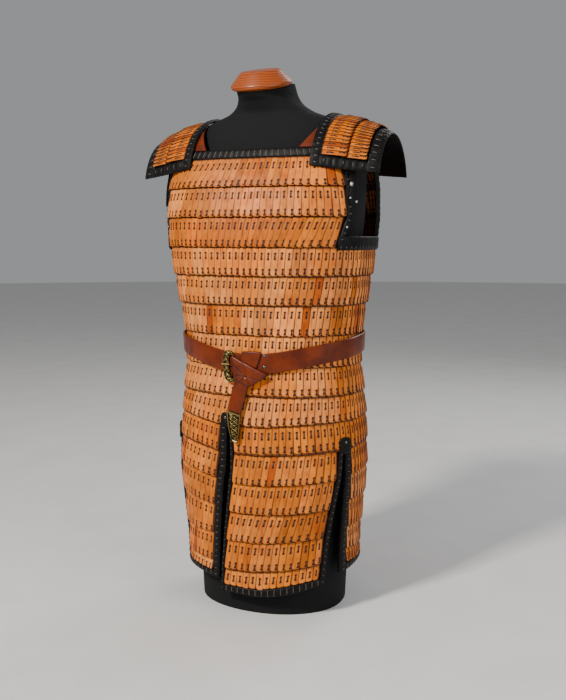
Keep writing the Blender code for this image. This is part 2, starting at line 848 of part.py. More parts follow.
def stud(name, angle, height, inside, radius, rise, slot):
    """A round rivet head on the armour."""
    centre = on_belt(angle, height, inside)
    out = on_belt(angle, height, inside + 0.01) - centre
    out /= np.linalg.norm(out)
    side = np.cross((0.0, 0.0, 1.0), out)
    up = np.cross(out, side)
    sides = 10
    points = []
    for level, share in ((0.0, 1.0), (0.6 * rise, 0.85), (rise, 0.4)):
        for s in range(sides):
            turn = 2 * math.pi * s / sides
            points.append(
                centre + out * level + radius * share * (math.cos(turn) * side + math.sin(turn) * up)
            )
    faces = [tuple(range(sides)), tuple(reversed(range(2 * sides, 3 * sides)))]
    for ring in range(2):
        for s in range(sides):
            other = (s + 1) % sides
            base = ring * sides
            faces.append((base + s, base + sides + s, base + sides + other, base + other))
    return add_object(name, points, faces, slot)


def make_belt():
    ring_band("belt_band", belt_middle, BELT_HALF, BELT_IN, BELT_OUT, BELT_STEPS, "belt_leather")
    front = belt_middle(BUCKLE_ANGLE)
    for name, layer, across, up, corners in BELT_PIECES:
        inside = BELT_OUT + BELT_LAYER_START + layer * BELT_LAYER_PITCH
        placed = [(angle, front + rise) for angle, rise in corners]
        quad_strip(name, placed, inside, inside + BELT_PIECE_THICKNESS, (across, up), "belt_leather")
    make_chape(front)
    make_buckle(front)
    for name, rise in RIVETS:
        stud(name, RIVET_ANGLE, front + rise, BELT_OUT + GAP, RIVET_RADIUS, RIVET_RISE, "steel_rivet")


def make_chape(front):
    """A tapered brass end below the tail. Its top edge slopes like the tail's end."""

    def place(share, index, offset):
        depth, left, right = CHAPE_EDGES[index]
        angle = left + (right - left) * share
        slope = CHAPE_SLOPE * (angle - CHAPE_EDGES[0][1])
        return armour(angle, front - depth - CHAPE_GAP - slope, offset)

    inside = BELT_OUT + BELT_LAYER_START - CHAPE_SINK
    cell_plate(
        "belt_chape",
        place,
        np.linspace(0, 1, 4),
        list(range(len(CHAPE_EDGES))),
        whole,
        inside,
        inside + CHAPE_THICKNESS,
        "antique_brass",
    )


def make_buckle(front):
    """A cast frame that passes under the knot, and its pin, which lies over the frame's bow."""
    outlines = []
    for middle, half_turn, half_height in (BUCKLE_OUTER, BUCKLE_INNER):
        outline = []
        for k in range(BUCKLE_STEPS):
            turn = 2 * math.pi * k / BUCKLE_STEPS
            rise = half_height * squared(math.cos(turn), 0.8)
            angle = middle + half_turn * squared(math.sin(turn), 0.7) - BUCKLE_LEAN * rise
            outline.append((angle, front + BUCKLE_RISE + rise))
        outlines.append(outline)
    inside = BELT_OUT + BELT_LAYER_START
    flat_loop("buckle_frame", *outlines, inside, inside + BELT_PIECE_THICKNESS, "antique_brass")
    left, right = PIN_ENDS
    low, high = front + PIN_RISE - PIN_HALF_HEIGHT, front + PIN_RISE + PIN_HALF_HEIGHT
    corners = [(left, low), (right, low), (right, high), (left, high)]
    inside += BELT_LAYER_PITCH
    quad_strip("buckle_pin", corners, inside, inside + BELT_PIECE_THICKNESS, (2, 1), "antique_brass")


def make_form():
    """The black torso and neck as one smooth body on a flat base, and the wooden cap on the neck."""
    sides = 40
    angles = np.linspace(-180.0, 180.0, sides, endpoint=False)
    heights = [row[0] for row in FORM_SECTIONS]
    points, faces = [], []
    for height in heights:
        ring = round_body(FORM_SECTIONS, angles, height, 0.0)
        lift = max(0.0, height - NECK_START) / (FORM_SECTIONS[-1][0] - NECK_START)
        ring[:, 0] += NECK_SHIFT * lift**1.5
        if height > NECK_TILT_START:
            tipped = (height - NECK_TILT_START) / (FORM_SECTIONS[-1][0] - NECK_TILT_START)
            middle = (ring[:, 1].min() + ring[:, 1].max()) / 2
            ring[:, 2] += (ring[:, 1] - middle) * math.tan(math.radians(NECK_TILT)) * tipped
        points.extend(ring)
    for ring in range(len(heights) - 1):
        for s in range(sides):
            other = (s + 1) % sides
            base = ring * sides
            faces.append((base + s, base + other, base + sides + other, base + sides + s))
    faces.append(tuple(reversed(range(sides))))
    faces.append(tuple(range((len(heights) - 1) * sides, len(heights) * sides)))
    add_object("form_torso", points, faces, "form_jersey")


def make_cap():
    """A bevelled wooden disc that tips forward on the neck."""
    sides = 32
    half = CAP_THICKNESS / 2
    tilt = math.radians(NECK_TILT)
    rings = [
        # height from the middle, radius
        (-half, CAP_HALF_WIDTH - CAP_BEVEL),
        (-half + CAP_BEVEL, CAP_HALF_WIDTH),
        (half - CAP_BEVEL, CAP_HALF_WIDTH),
        (half, CAP_HALF_WIDTH - CAP_BEVEL),
    ]
    points, faces = [], []
    for height, radius in rings:
        for s in range(sides):
            turn = 2 * math.pi * s / sides
            x, y = radius * math.cos(turn), radius * math.sin(turn)
            points.append(
                (
                    CAP_CENTRE[0] + x,
                    CAP_CENTRE[1] + y * math.cos(tilt) - height * math.sin(tilt),
                    CAP_CENTRE[2] + y * math.sin(tilt) + height * math.cos(tilt),
                )
            )
    for ring in range(3):
        for s in range(sides):
            other = (s + 1) % sides
            base = ring * sides
            faces.append((base + s, base + other, base + sides + other, base + sides + s))
    faces.append(tuple(reversed(range(sides))))
    faces.append(tuple(range(3 * sides, 4 * sides)))
    add_object("neck_cap", points, faces, "cap_wood")


def stand_on_origin():
    """Moves all pieces level, so that the origin lies under the middle of their common box."""
    made = list(bpy.data.objects)
    corners = np.array([vertex.co for piece in made for vertex in piece.data.vertices])
    middle = (corners.min(axis=0) + corners.max(axis=0)) / 2
    for piece in made:
        piece.data.transform(Matrix.Translation((-middle[0], -middle[1], 0.0)))


def main():
    for old in list(bpy.data.objects):
        bpy.data.objects.remove(old)
    make_form()
    make_cap()
    make_body_rows()
    make_skirt()
    make_slit_heads()
    make_top_bindings()
    make_armhole_bindings()
    make_shoulder_straps()
    make_guards()
    make_arm_straps()
    make_belt()
    stand_on_origin()


main()
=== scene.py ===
"""Looks of the lamellar leather armour on its dress form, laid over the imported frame.

Metres, +Z up. The figure faces -Y and its left is +X. The form's flat base is at z = 0.
Angles round the body are in degrees from the front centre, positive towards the figure's left.
"""
import math

import bmesh
import bpy
import numpy as np
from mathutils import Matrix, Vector


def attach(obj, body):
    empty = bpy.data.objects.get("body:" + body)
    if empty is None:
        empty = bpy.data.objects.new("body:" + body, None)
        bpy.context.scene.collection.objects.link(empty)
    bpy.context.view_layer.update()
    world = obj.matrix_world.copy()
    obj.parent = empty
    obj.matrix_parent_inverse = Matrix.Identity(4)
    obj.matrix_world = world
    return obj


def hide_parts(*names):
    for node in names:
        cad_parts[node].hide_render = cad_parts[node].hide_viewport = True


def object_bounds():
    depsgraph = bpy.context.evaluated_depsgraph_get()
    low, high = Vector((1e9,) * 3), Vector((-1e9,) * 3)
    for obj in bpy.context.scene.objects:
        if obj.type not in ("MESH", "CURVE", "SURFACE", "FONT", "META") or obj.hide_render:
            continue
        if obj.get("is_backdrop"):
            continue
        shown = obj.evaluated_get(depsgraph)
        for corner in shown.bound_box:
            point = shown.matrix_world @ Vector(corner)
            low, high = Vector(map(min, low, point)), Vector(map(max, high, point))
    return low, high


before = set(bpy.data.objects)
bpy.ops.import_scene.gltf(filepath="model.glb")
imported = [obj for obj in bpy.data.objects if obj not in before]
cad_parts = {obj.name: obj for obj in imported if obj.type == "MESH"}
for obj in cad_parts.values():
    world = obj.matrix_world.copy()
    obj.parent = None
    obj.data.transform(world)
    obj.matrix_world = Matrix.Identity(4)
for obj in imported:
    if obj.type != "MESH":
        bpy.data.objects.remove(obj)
CAD_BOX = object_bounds()
RNG = np.random.default_rng(12)
LEVEL = np.array([1.0, 1.0, 0.0])
SIDES = (("left", 1), ("right", -1))
SMOOTH_ANGLE = math.radians(38.0)

# Shapes and sizes that the solids also use
SHIFT = np.array([0.0, -0.0090, 0.0])
WALL = 0.0022
STEP = 0.0016
FLARE = 0.0064
OVERLAP = 0.008
PITCH = 0.0135
GAP = 0.0003
EDGE_GAP = 0.0007
BREAST_TOP = 0.914
LEAN_FADE = 0.05
BINDING_WIDTH = 0.012
BINDING_IN = 0.0012
BINDING_OUT = WALL + STEP + FLARE
BINDING_GAP = 0.0008
HEM_WIDTH = 0.016
ARMHOLE_BAND_DROP = 0.0145
ARMHOLE_BAND_SEAT = 0.0062
TOP_BINDING_HEIGHT = 0.017
STRAP_THICKNESS = 0.003
STRAP_INNER_EDGE = 0.06
STRAP_WIDTH_SHARE = 0.28
STRAP_REACH = 0.8
STRAP_DROP = 0.0011
STRAP_BEND = 2.5
STRAP_FOOT_ANGLE = 46.0
STRAP_FOOT_TURN = 12.0
STRAP_FOOT_GAP = 0.0014
STRAP_FOOT_OUT = 0.0035
ARM_STRAP_GAP = 0.0008
BELT_HALF = 0.0195
BELT_THICKNESS = 0.0035
BELT_IN = BINDING_OUT + 0.0008
BELT_OUT = BELT_IN + BELT_THICKNESS
BELT_LAYER_START = 0.0008
BELT_LAYER_PITCH = 0.0038
BELT_PIECE_THICKNESS = 0.0032
BUCKLE_ANGLE = -10.0
BUCKLE_RISE = -0.0076
BUCKLE_LEAN = 45.0
BUCKLE_OUTER = (-10.5, 5.8, 0.0310)
BUCKLE_INNER = (-8.4, 2.4, 0.0235)
PIN_ENDS = (-17.0, -9.6)
PIN_RISE = -0.0038
PIN_HALF_HEIGHT = 0.0026
RIVET_ANGLE = 19.6
RIVETS = (0.0155, -0.0065)
CHAPE_SLOPE = 0.00062


# Edgings, stitches and patches as they show
EDGING_STEP = 0.0002
STITCH_SPACING = 0.0127
STITCH_ARCH = (0.0, 0.8, 1.0, 0.8, 0.0)
WAIST_GIRTH = 1.15

# Lamellae as they show
LAMELLA_WIDTH = 0.0163
LAMELLA_PITCH = 0.0133
LAMELLA_THICKNESS = 0.0016
LAMELLA_CORNER = 0.0055
LAMELLA_BULGE = 0.0014
LAMELLA_CROWN = 0.0004
ACROSS = np.array([0.0, 0.5, 1.6, 3.4, 5.6, 8.1, 10.6, 12.8, 14.6, 15.8, 16.3]) / 1000
DOWN = np.array([0.0, 0.12, 0.25, 0.4, 0.55, 0.7, 0.82, 0.92, 0.985, 1.0])
HOLES_ACROSS = 0.0064
HOLES_FROM_TOP = (0.0122, 0.0225)
LOW_HOLES_ACROSS = 0.0100
HOLES_FROM_END = (0.0125, 0.0042)
OUT_OF_REACH = 0.06
LACE_SINK = np.array([-0.0010, 0.0002, 0.0004, 0.0002, -0.0010])
BEVEL_DEPTH = 0.00045
BEVEL_WIDTH = 0.0016

TONES = [
    # base colour of a lamella, fewest and most lamellae cut side by side from one strip
    ((0.79, 0.272, 0.060), 2, 5),
    ((0.70, 0.205, 0.026), 2, 5),
    ((0.61, 0.167, 0.011), 2, 5),
    ((0.56, 0.136, 0.004), 1, 3),
    ((0.41, 0.072, 0.001), 1, 1),
]

ROWS = [
    # row, visible height, lean to the figure's right, shares of the TONES
    (1, 0.056, 0.008, (0.00, 0.05, 0.33, 0.47, 0.15)),
    (2, 0.058, 0.001, (0.18, 0.42, 0.33, 0.05, 0.02)),
    (3, 0.058, 0.009, (0.00, 0.00, 0.20, 0.70, 0.10)),
    (4, 0.056, 0.002, (0.70, 0.28, 0.02, 0.00, 0.00)),
    (5, 0.057, 0.006, (0.32, 0.24, 0.14, 0.12, 0.18)),
    (6, 0.059, 0.004, (0.32, 0.26, 0.14, 0.14, 0.14)),
    (7, 0.062, 0.004, (0.42, 0.27, 0.08, 0.12, 0.11)),
    (8, 0.058, 0.004, (0.46, 0.30, 0.07, 0.08, 0.09)),
    (9, 0.060, 0.007, (0.52, 0.32, 0.03, 0.06, 0.07)),
    (10, 0.056, 0.002, (0.00, 0.05, 0.40, 0.53, 0.02)),
    (11, 0.058, 0.006, (0.08, 0.25, 0.37, 0.22, 0.08)),
    (12, 0.061, 0.002, (0.10, 0.25, 0.37, 0.22, 0.06)),
    (13, 0.060, 0.009, (0.05, 0.20, 0.40, 0.30, 0.05)),
    (14, 0.057, 0.002, (0.08, 0.30, 0.35, 0.22, 0.05)),
    (15, 0.041, 0.001, (0.10, 0.35, 0.35, 0.18, 0.02)),
]

ARMOUR_SECTIONS = [
    # height, half width, depth in front, depth behind, squareness
    (0.030, 0.172, 0.142, 0.172, 2.1),
    (0.140, 0.176, 0.144, 0.172, 2.1),
    (0.280, 0.190, 0.150, 0.174, 2.2),
    (0.380, 0.189, 0.145, 0.168, 2.2),
    (0.460, 0.183, 0.137, 0.152, 2.2),
    (0.520, 0.178, 0.130, 0.138, 2.2),
    (0.580, 0.180, 0.132, 0.136, 2.3),
    (0.660, 0.193, 0.141, 0.142, 2.5),
    (0.740, 0.203, 0.147, 0.148, 2.8),
    (0.800, 0.207, 0.143, 0.150, 2.9),
    (0.860, 0.206, 0.130, 0.146, 3.0),
    (0.935, 0.200, 0.100, 0.130, 3.0),
]

ARMHOLE_EDGES = [
    # height, end of the front rows, end of the back rows
    (0.700, 60.0, 116.0),
    (0.742, 60.0, 116.0),
    (0.800, 66.0, 114.0),
    (0.935, 66.0, 114.0),
]

BELT_LINE = [
    # angle, height of the belt's middle
    (-180.0, 0.5530),
    (-110.0, 0.5500),
    (-75.0, 0.5450),
    (-50.0, 0.5370),
    (-27.0, 0.5225),
    (-10.0, 0.5150),
    (8.0, 0.5140),
    (25.0, 0.5165),
    (45.0, 0.5275),
    (70.0, 0.5410),
    (100.0, 0.5500),
    (180.0, 0.5530),
]

RISE_MARKS = {
    # panel: angles at which its row lines are lifted, with the columns of ROW_RISES that lift them
    "front_right": [(-66.0, 1), (-45.0, 2), (-22.0, 3)],
    "front_left": [(-18.0, 4), (17.0, 5), (40.0, 6), (62.0, 7)],
    "back": [(74.0, 8), (100.0, 9), (180.0, 9), (260.0, 9), (286.0, 10)],
}
RISE_BLUR = np.linspace(-10.0, 10.0, 9)

ROW_RISES = [
    # height, then how much higher the row lines and hems hang at that height, by the columns above
    (0.041, 0.035, 0.034, 0.031, 0.008, 0.003, 0.013, 0.032, 0.043, 0.050, 0.043),
    (0.057, 0.031, 0.030, 0.027, 0.005, 0.004, 0.017, 0.028, 0.047, 0.042, 0.045),
    (0.098, 0.008, 0.009, 0.009, -0.006, -0.002, 0.005, 0.015, 0.037, 0.026, 0.034),
    (0.155, 0.009, 0.009, 0.012, 0.000, 0.001, 0.007, 0.012, 0.026, 0.018, 0.024),
    (0.215, 0.022, 0.017, 0.010, 0.000, 0.000, 0.003, 0.009, 0.021, 0.019, 0.022),
    (0.276, 0.020, 0.017, 0.007, 0.000, -0.001, 0.003, 0.007, 0.013, 0.016, 0.019),
    (0.334, 0.016, 0.013, 0.005, 0.001, 0.000, 0.004, 0.007, 0.008, 0.013, 0.016),
    (0.390, 0.013, 0.010, 0.002, 0.002, 0.000, 0.006, 0.009, 0.009, 0.011, 0.013),
    (0.450, 0.000, 0.000, 0.000, 0.000, 0.000, 0.000, 0.000, 0.000, 0.000, 0.000),
]

EDGING_WIDTHS = {
    # panel: width of the edging where the panel starts and where it ends
    "front_right": (0.012, 0.017),
    "front_left": (0.008, 0.010),
    "back": (0.018, 0.018),
}

ARM_STRAP_CORNERS = [
    # angle, height
    (66.6, 0.820),
    (71.5, 0.826),
    (75.0, 0.945),
    (69.5, 0.925),
]

ARM_STRAP_RIVETS = [
    # angle, height, radius
    (68.4, 0.861, 0.0042),
    (67.3, 0.835, 0.0020),
    (70.9, 0.828, 0.0026),
]

SLIT_EDGES = [
    # height, front slit right, front slit left, left slit front, left slit back, right slit front, right slit back
    (0.040, -20.3, -19.1, 61.0, 73.5, -67.5, -76.5),
    (0.105, -19.5, -18.1, 62.5, 73.0, -68.0, -76.0),
    (0.170, -17.5, -15.0, 64.5, 72.5, -69.0, -75.0),
    (0.235, -15.0, -11.5, 67.0, 72.0, -69.5, -74.5),
    (0.300, -11.7, -8.2, 70.0, 72.2, -71.0, -73.2),
    (0.335, -11.4, -8.6, 71.0, 72.4, -71.0, -72.4),
    (0.400, -11.2, -9.8, 71.0, 72.4, -71.0, -72.4),
]

FORM_SECTIONS = [
    # height, half width, depth in front, depth behind, squareness
    (0.000, 0.154, 0.122, 0.150, 2.1),
    (0.120, 0.160, 0.126, 0.154, 2.1),
    (0.280, 0.172, 0.132, 0.158, 2.2),
    (0.380, 0.170, 0.126, 0.150, 2.2),
    (0.460, 0.161, 0.117, 0.134, 2.2),
    (0.520, 0.156, 0.112, 0.120, 2.2),
    (0.580, 0.160, 0.114, 0.118, 2.3),
    (0.660, 0.173, 0.122, 0.124, 2.4),
    (0.740, 0.184, 0.128, 0.130, 2.5),
    (0.800, 0.190, 0.124, 0.132, 2.5),
    (0.860, 0.194, 0.111, 0.128, 2.5),
    (0.910, 0.195, 0.095, 0.118, 2.4),
    (0.942, 0.190, 0.082, 0.108, 2.3),
    (0.965, 0.178, 0.072, 0.096, 2.2),
    (0.984, 0.155, 0.064, 0.084, 2.2),
    (0.998, 0.124, 0.060, 0.072, 2.1),
    (1.008, 0.096, 0.060, 0.060, 2.0),
    (1.020, 0.076, 0.066, 0.048, 2.0),
    (1.036, 0.063, 0.076, 0.036, 2.0),
    (1.058, 0.058, 0.086, 0.026, 2.0),
]
NECK_SHIFT = -0.010
NECK_START = 1.0
NECK_TILT_START = 1.03
NECK_TILT = 15.0
CAP_RADIUS = 0.062
CAP_THICKNESS = 0.034
CAP_CENTRE = np.array([-0.010, -0.0345, 1.0750])
CAP_RIM = 0.007
CAP_TOP = [
    # height from the cap's upper face, radius
    (-0.004, 0.0425),
    (-0.0015, 0.0402),
    (-0.0003, 0.0380),
    (0.0, 0.034),
    (0.0004, 0.001),
]

GUARD_EDGES = [
    # share outwards, distance from the body's middle, ridge height, front height, middle depth, half depth
    (0.0, 0.128, 1.004, 0.896, 0.020, 0.134),
    (0.5, 0.193, 0.984, 0.887, 0.012, 0.108),
    (1.0, 0.257, 0.958, 0.880, 0.006, 0.082),
]
GUARD_ARCH = math.radians(76.0)
GUARD_LAMELLAE = 32
GUARD_INNER_ROW_END = 0.52
GUARD_OUTER_ROW_START = 0.44
GUARD_INNER_BORDER = 0.15
GUARD_OUTER_BORDER = 0.80
GUARD_END_BORDER = 0.13
GUARD_LENGTH = 0.137
GUARD_BORDER_THICKNESS = 0.0045
GUARD_EDGING_CUT = 0.026
GUARD_TONES = (0.0, 0.03, 0.25, 0.52, 0.20)

SLIT_HEADS = [
    # name, angle, half width in degrees, row under it, how far it reaches below and above that row's lower edge
    ("slit_head_front", -12.6, 4.4, 9, 0.002, 0.026),
    ("slit_head_left", 71.7, 4.0, 10, -0.001, 0.034),
    ("slit_head_right", -71.7, 4.0, 10, -0.002, 0.038),
]
SLIT_HEAD_THICKNESS = 0.003

KNOT_FOLDS = [
    # direction from the knot's middle in radians, depth
    (0.35, 0.6),
    (1.9, 0.5),
    (2.75, 1.0),
    (3.6, 0.8),
    (4.4, 0.9),
    (5.6, 0.7),
]

CHAPE_EDGES = [
    # depth below the belt's middle at the buckle, left angle, right angle
    (0.0938, -10.6, 1.3),
    (0.1120, -9.4, 1.0),
    (0.1290, -7.8, 0.6),
    (0.1430, -5.9, -0.1),
    (0.1510, -3.9, -0.9),
]

# Rounded half profile of a folded leather edging, mirrored for the other half: share across, share of its thickness
EDGING_PROFILE = [(0.0, 0.0), (0.0, 0.55), (0.05, 0.82), (0.16, 0.97), (0.36, 1.0)]
EDGING_PROFILE += [(1.0 - share, level) for share, level in reversed(EDGING_PROFILE)]


class Shape:
    """The points, faces and marks of one piece, gathered before its mesh is made."""

    def __init__(self):
        self.points, self.faces, self.slots, self.dyes, self.locals = [], [], [], [], []
        self.count = 0

    def add(self, points, faces, slot=0, dye=(1.0, 1.0, 1.0), local=(0.0, 0.0, 0.0)):
        points = np.asarray(points, float).reshape(-1, 3)
        self.points.append(points)
        self.faces.extend(tuple(self.count + corner for corner in face) for face in faces)
        self.slots.extend([slot] * len(faces))
        self.dyes.append(np.broadcast_to(dye, points.shape))
        self.locals.append(np.broadcast_to(local, points.shape))
        self.count += len(points)


def finish_piece(shape, node, suffix, look, name=None, **cut):
    """Makes the mesh of a gathered shape and ties it to the frame; the cut of its leather is not used."""
    slot, materials = LOOKS[look]
    name = name or f"{node}_{suffix}"
    mesh = bpy.data.meshes.new(name)
    mesh.from_pydata(np.concatenate(shape.points).tolist(), [], shape.faces)
    mesh.polygons.foreach_set("material_index", shape.slots)
    for mark, values in (("dye", shape.dyes), ("local", shape.locals)):
        mesh.attributes.new(mark, "FLOAT_VECTOR", "POINT").data.foreach_set("vector", np.concatenate(values).ravel())
    work = bmesh.new()
    work.from_mesh(mesh)
    bmesh.ops.recalc_face_normals(work, faces=work.faces)
    work.to_mesh(mesh)
    work.free()
    for material in materials:
        mesh.materials.append(material)
    piece = bpy.data.objects.new(name, mesh)
    bpy.context.scene.collection.objects.link(piece)
    mesh.shade_smooth()
    mesh.set_sharp_from_angle(angle=SMOOTH_ANGLE)
    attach(piece, "root")
    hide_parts(node)


def column(table, index, height):
    return np.interp(height, [row[0] for row in table], [row[index] for row in table])


def smooth_column(table, index, height):
    """A column of a table read along a smooth curve through its rows."""
    x = np.array([row[0] for row in table], float)
    y = np.array([row[index] for row in table], float)
    slope = np.gradient(y, x)
    height = np.clip(height, x[0], x[-1])
    k = np.clip(np.searchsorted(x, height) - 1, 0, len(x) - 2)
    step = x[k + 1] - x[k]
    t = (height - x[k]) / step
    start = (1 + 2 * t) * (1 - t) ** 2 * y[k] + t * (1 - t) ** 2 * step * slope[k]
    return start + t * t * (3 - 2 * t) * y[k + 1] + t * t * (t - 1) * step * slope[k + 1]


def round_body(table, angle, height, offset, read=column):
    """Points at an angle and height of a table's squared ellipse, moved out level by offset."""
    angle, height, offset = np.broadcast_arrays(
        np.radians(np.asarray(angle, float)), np.asarray(height, float), np.asarray(offset, float)
    )
    sine, cosine = np.sin(angle), np.cos(angle)
    wide = read(table, 1, height)
    deep = np.where(cosine >= 0, read(table, 2, height), read(table, 3, height))
    power = read(table, 4, height)
    reach = ((np.abs(sine) / wide) ** power + (np.abs(cosine) / deep) ** power) ** (-1 / power)
    x, y = reach * sine, -reach * cosine
    out_x = np.sign(x) * np.abs(x) ** (power - 1) / wide**power
    out_y = np.sign(y) * np.abs(y) ** (power - 1) / deep**power
    length = np.hypot(out_x, out_y)
    return np.stack([x + offset * out_x / length, y + offset * out_y / length, height], axis=-1)


def armour(angle, height, offset):
    return round_body(ARMOUR_SECTIONS, angle, height, offset) + SHIFT


def row_rise(marks, angle, height):
    """How much higher a piece hangs at angles and heights, blurred round the body."""
    angle, height = np.broadcast_arrays(np.asarray(angle, float), np.asarray(height, float))
    angles = np.array([mark for mark, _ in marks])
    rises = np.stack([column(ROW_RISES, index, height) for _, index in marks])
    total = np.zeros(angle.shape)
    for blur in RISE_BLUR:
        at = np.clip(angle + blur, angles[0], angles[-1])
        k = np.clip(np.searchsorted(angles, at) - 1, 0, len(angles) - 2)
        share = (at - angles[k]) / (angles[k + 1] - angles[k])
        before = np.take_along_axis(rises, k[None], axis=0)[0]
        after = np.take_along_axis(rises, k[None] + 1, axis=0)[0]
        total += before + (after - before) * share
    return total / len(RISE_BLUR)


def hung(panel):
    """Places points of a skirt panel, or of a whole ring, on the armour with its row lines lifted."""
    marks = RISE_MARKS.get(panel)
    if marks is None:
        once = [mark for name in ("front_right", "front_left", "back") for mark in RISE_MARKS[name]]
        marks = sorted((mark + 360.0 * turn, index) for turn in (-1, 0, 1) for mark, index in once)

    def place(angle, height, offset):
        return armour(angle, height + row_rise(marks, angle, height), offset)

    return place


def row_limits(number):
    """The lower and upper edge of a row, with the overlap that the row above hides."""
    top = BREAST_TOP - sum(row[1] for row in ROWS if row[0] < number)
    low = top - ROWS[number - 1][1]
    return low, top if number == 1 else top + OVERLAP


def around(count):
    """That many even turns round a circle."""
    return 2 * math.pi * np.arange(count) / count


def run_of(points):
    """The distance run to each point of a line."""
    return np.append(0.0, np.cumsum(np.linalg.norm(np.diff(points, axis=0), axis=1)))


def even_stops(start, end, height, count, lean):
    """Angles that part a row into equal lengths, moved by lean except near its ends."""
    fine = np.linspace(start, end, 361)
    run = run_of(armour(fine, height, 0.0))
    wanted = np.linspace(0.0, run[-1], count + 1)
    if end - start < 359.9:
        inside = np.minimum(wanted, run[-1] - wanted) / LEAN_FADE
        return np.interp(wanted - lean * np.clip(inside, 0.0, 1.0), run, fine)
    return np.interp(wanted - lean, np.append(run - run[-1], run[1:]), np.append(fine - 360.0, fine[1:]))


def arc_length(start, end, height):
    return run_of(armour(np.linspace(start, end, 181), height, 0.0))[-1]


def mirrored(sign):
    """Places points on the armour's left side, or on its right side for a sign of -1."""
    return lambda angle, height, offset: armour(sign * angle, height, offset)


def levelled(place):
    """The same places, asked for with the level first, for an edging that runs along a level."""
    return lambda level, stop, offset: place(stop, level, offset)


def grid_faces(rows, columns):
    """Quads between rows of points, with that many points in each row."""
    starts = [i * columns + j for i in range(rows - 1) for j in range(columns - 1)]
    return [(a, a + 1, a + columns + 1, a + columns) for a in starts]


def loft(shape, rings, closed=False, **marks):
    """Skins rings of points. An open loft gets end caps, and a closed one joins its last ring to its first."""
    rings = np.asarray(rings, float)
    count, sides = rings.shape[:2]
    faces = []
    for k in range(count if closed else count - 1):
        here, there = k * sides, (k + 1) % count * sides
        faces += [(here + s, here + (s + 1) % sides, there + (s + 1) % sides, there + s) for s in range(sides)]
    if not closed:
        faces.append(tuple(reversed(range(sides))))
        faces.append(tuple(range((count - 1) * sides, count * sides)))
    shape.add(rings, faces, **marks)


def strand(shape, line, radius, sides=5, flat=1.0, **marks):
    """A thin lace or thread along a line of points, tapered at both ends."""
    line = np.asarray(line, float)
    tangent = np.gradient(line, axis=0)
    tangent /= np.linalg.norm(tangent, axis=1)[:, None]
    side = np.cross(tangent, line.mean(axis=0) * LEVEL - SHIFT)
    side /= np.linalg.norm(side, axis=1)[:, None]
    up = np.cross(side, tangent)
    turn = around(sides)[None, :, None]
    width = np.full((len(line), 1, 1), radius)
    width[[0, -1]] *= 0.6
    loft(shape, line[:, None] + width * (side[:, None] * np.cos(turn) + up[:, None] * np.sin(turn) * flat), **marks)


def pick_dyes(count, shares):
    """A base colour for each lamella of a row. Neighbours cut from one strip of hide share a tone."""
    dyes = []
    while len(dyes) < count:
        kind = RNG.choice(len(TONES), p=np.array(shares) / sum(shares))
        tone, shortest, longest = TONES[kind]
        run = int(RNG.integers(shortest, longest + 1))
        base = np.array(tone) * RNG.normal(1.0, 0.09)
        for _ in range(run):
            dyes.append(base * RNG.normal(1.0, 0.09, 1) * RNG.normal(1.0, 0.015, 3))
    return dyes[:count]


def plate_faces():
    """The faces of one lamella: its front grid, the walls round it and a plain back."""
    rows, columns = len(DOWN), len(ACROSS)
    end = columns - 1
    faces = grid_faces(rows, columns)
    left = rows * columns + np.arange(rows)
    right = left + rows
    low = [left[-1], *(right[-1] + np.arange(1, end)), right[-1]]
    for i in range(rows - 1):
        faces.append((i * columns, left[i], left[i + 1], (i + 1) * columns))
        faces.append((i * columns + end, (i + 1) * columns + end, right[i + 1], right[i]))
        if i < rows - 2:
            faces.append((left[i], right[i], right[i + 1], left[i + 1]))
    bottom = (rows - 1) * columns
    faces += [(bottom + j, low[j], low[j + 1], bottom + j + 1) for j in range(end)]
    faces.append((left[-2], right[-2], *reversed(low)))
    faces.append((*range(columns), right[0], left[0]))
    return [tuple(int(corner) for corner in face) for face in faces]


PLATE_FACES = plate_faces()


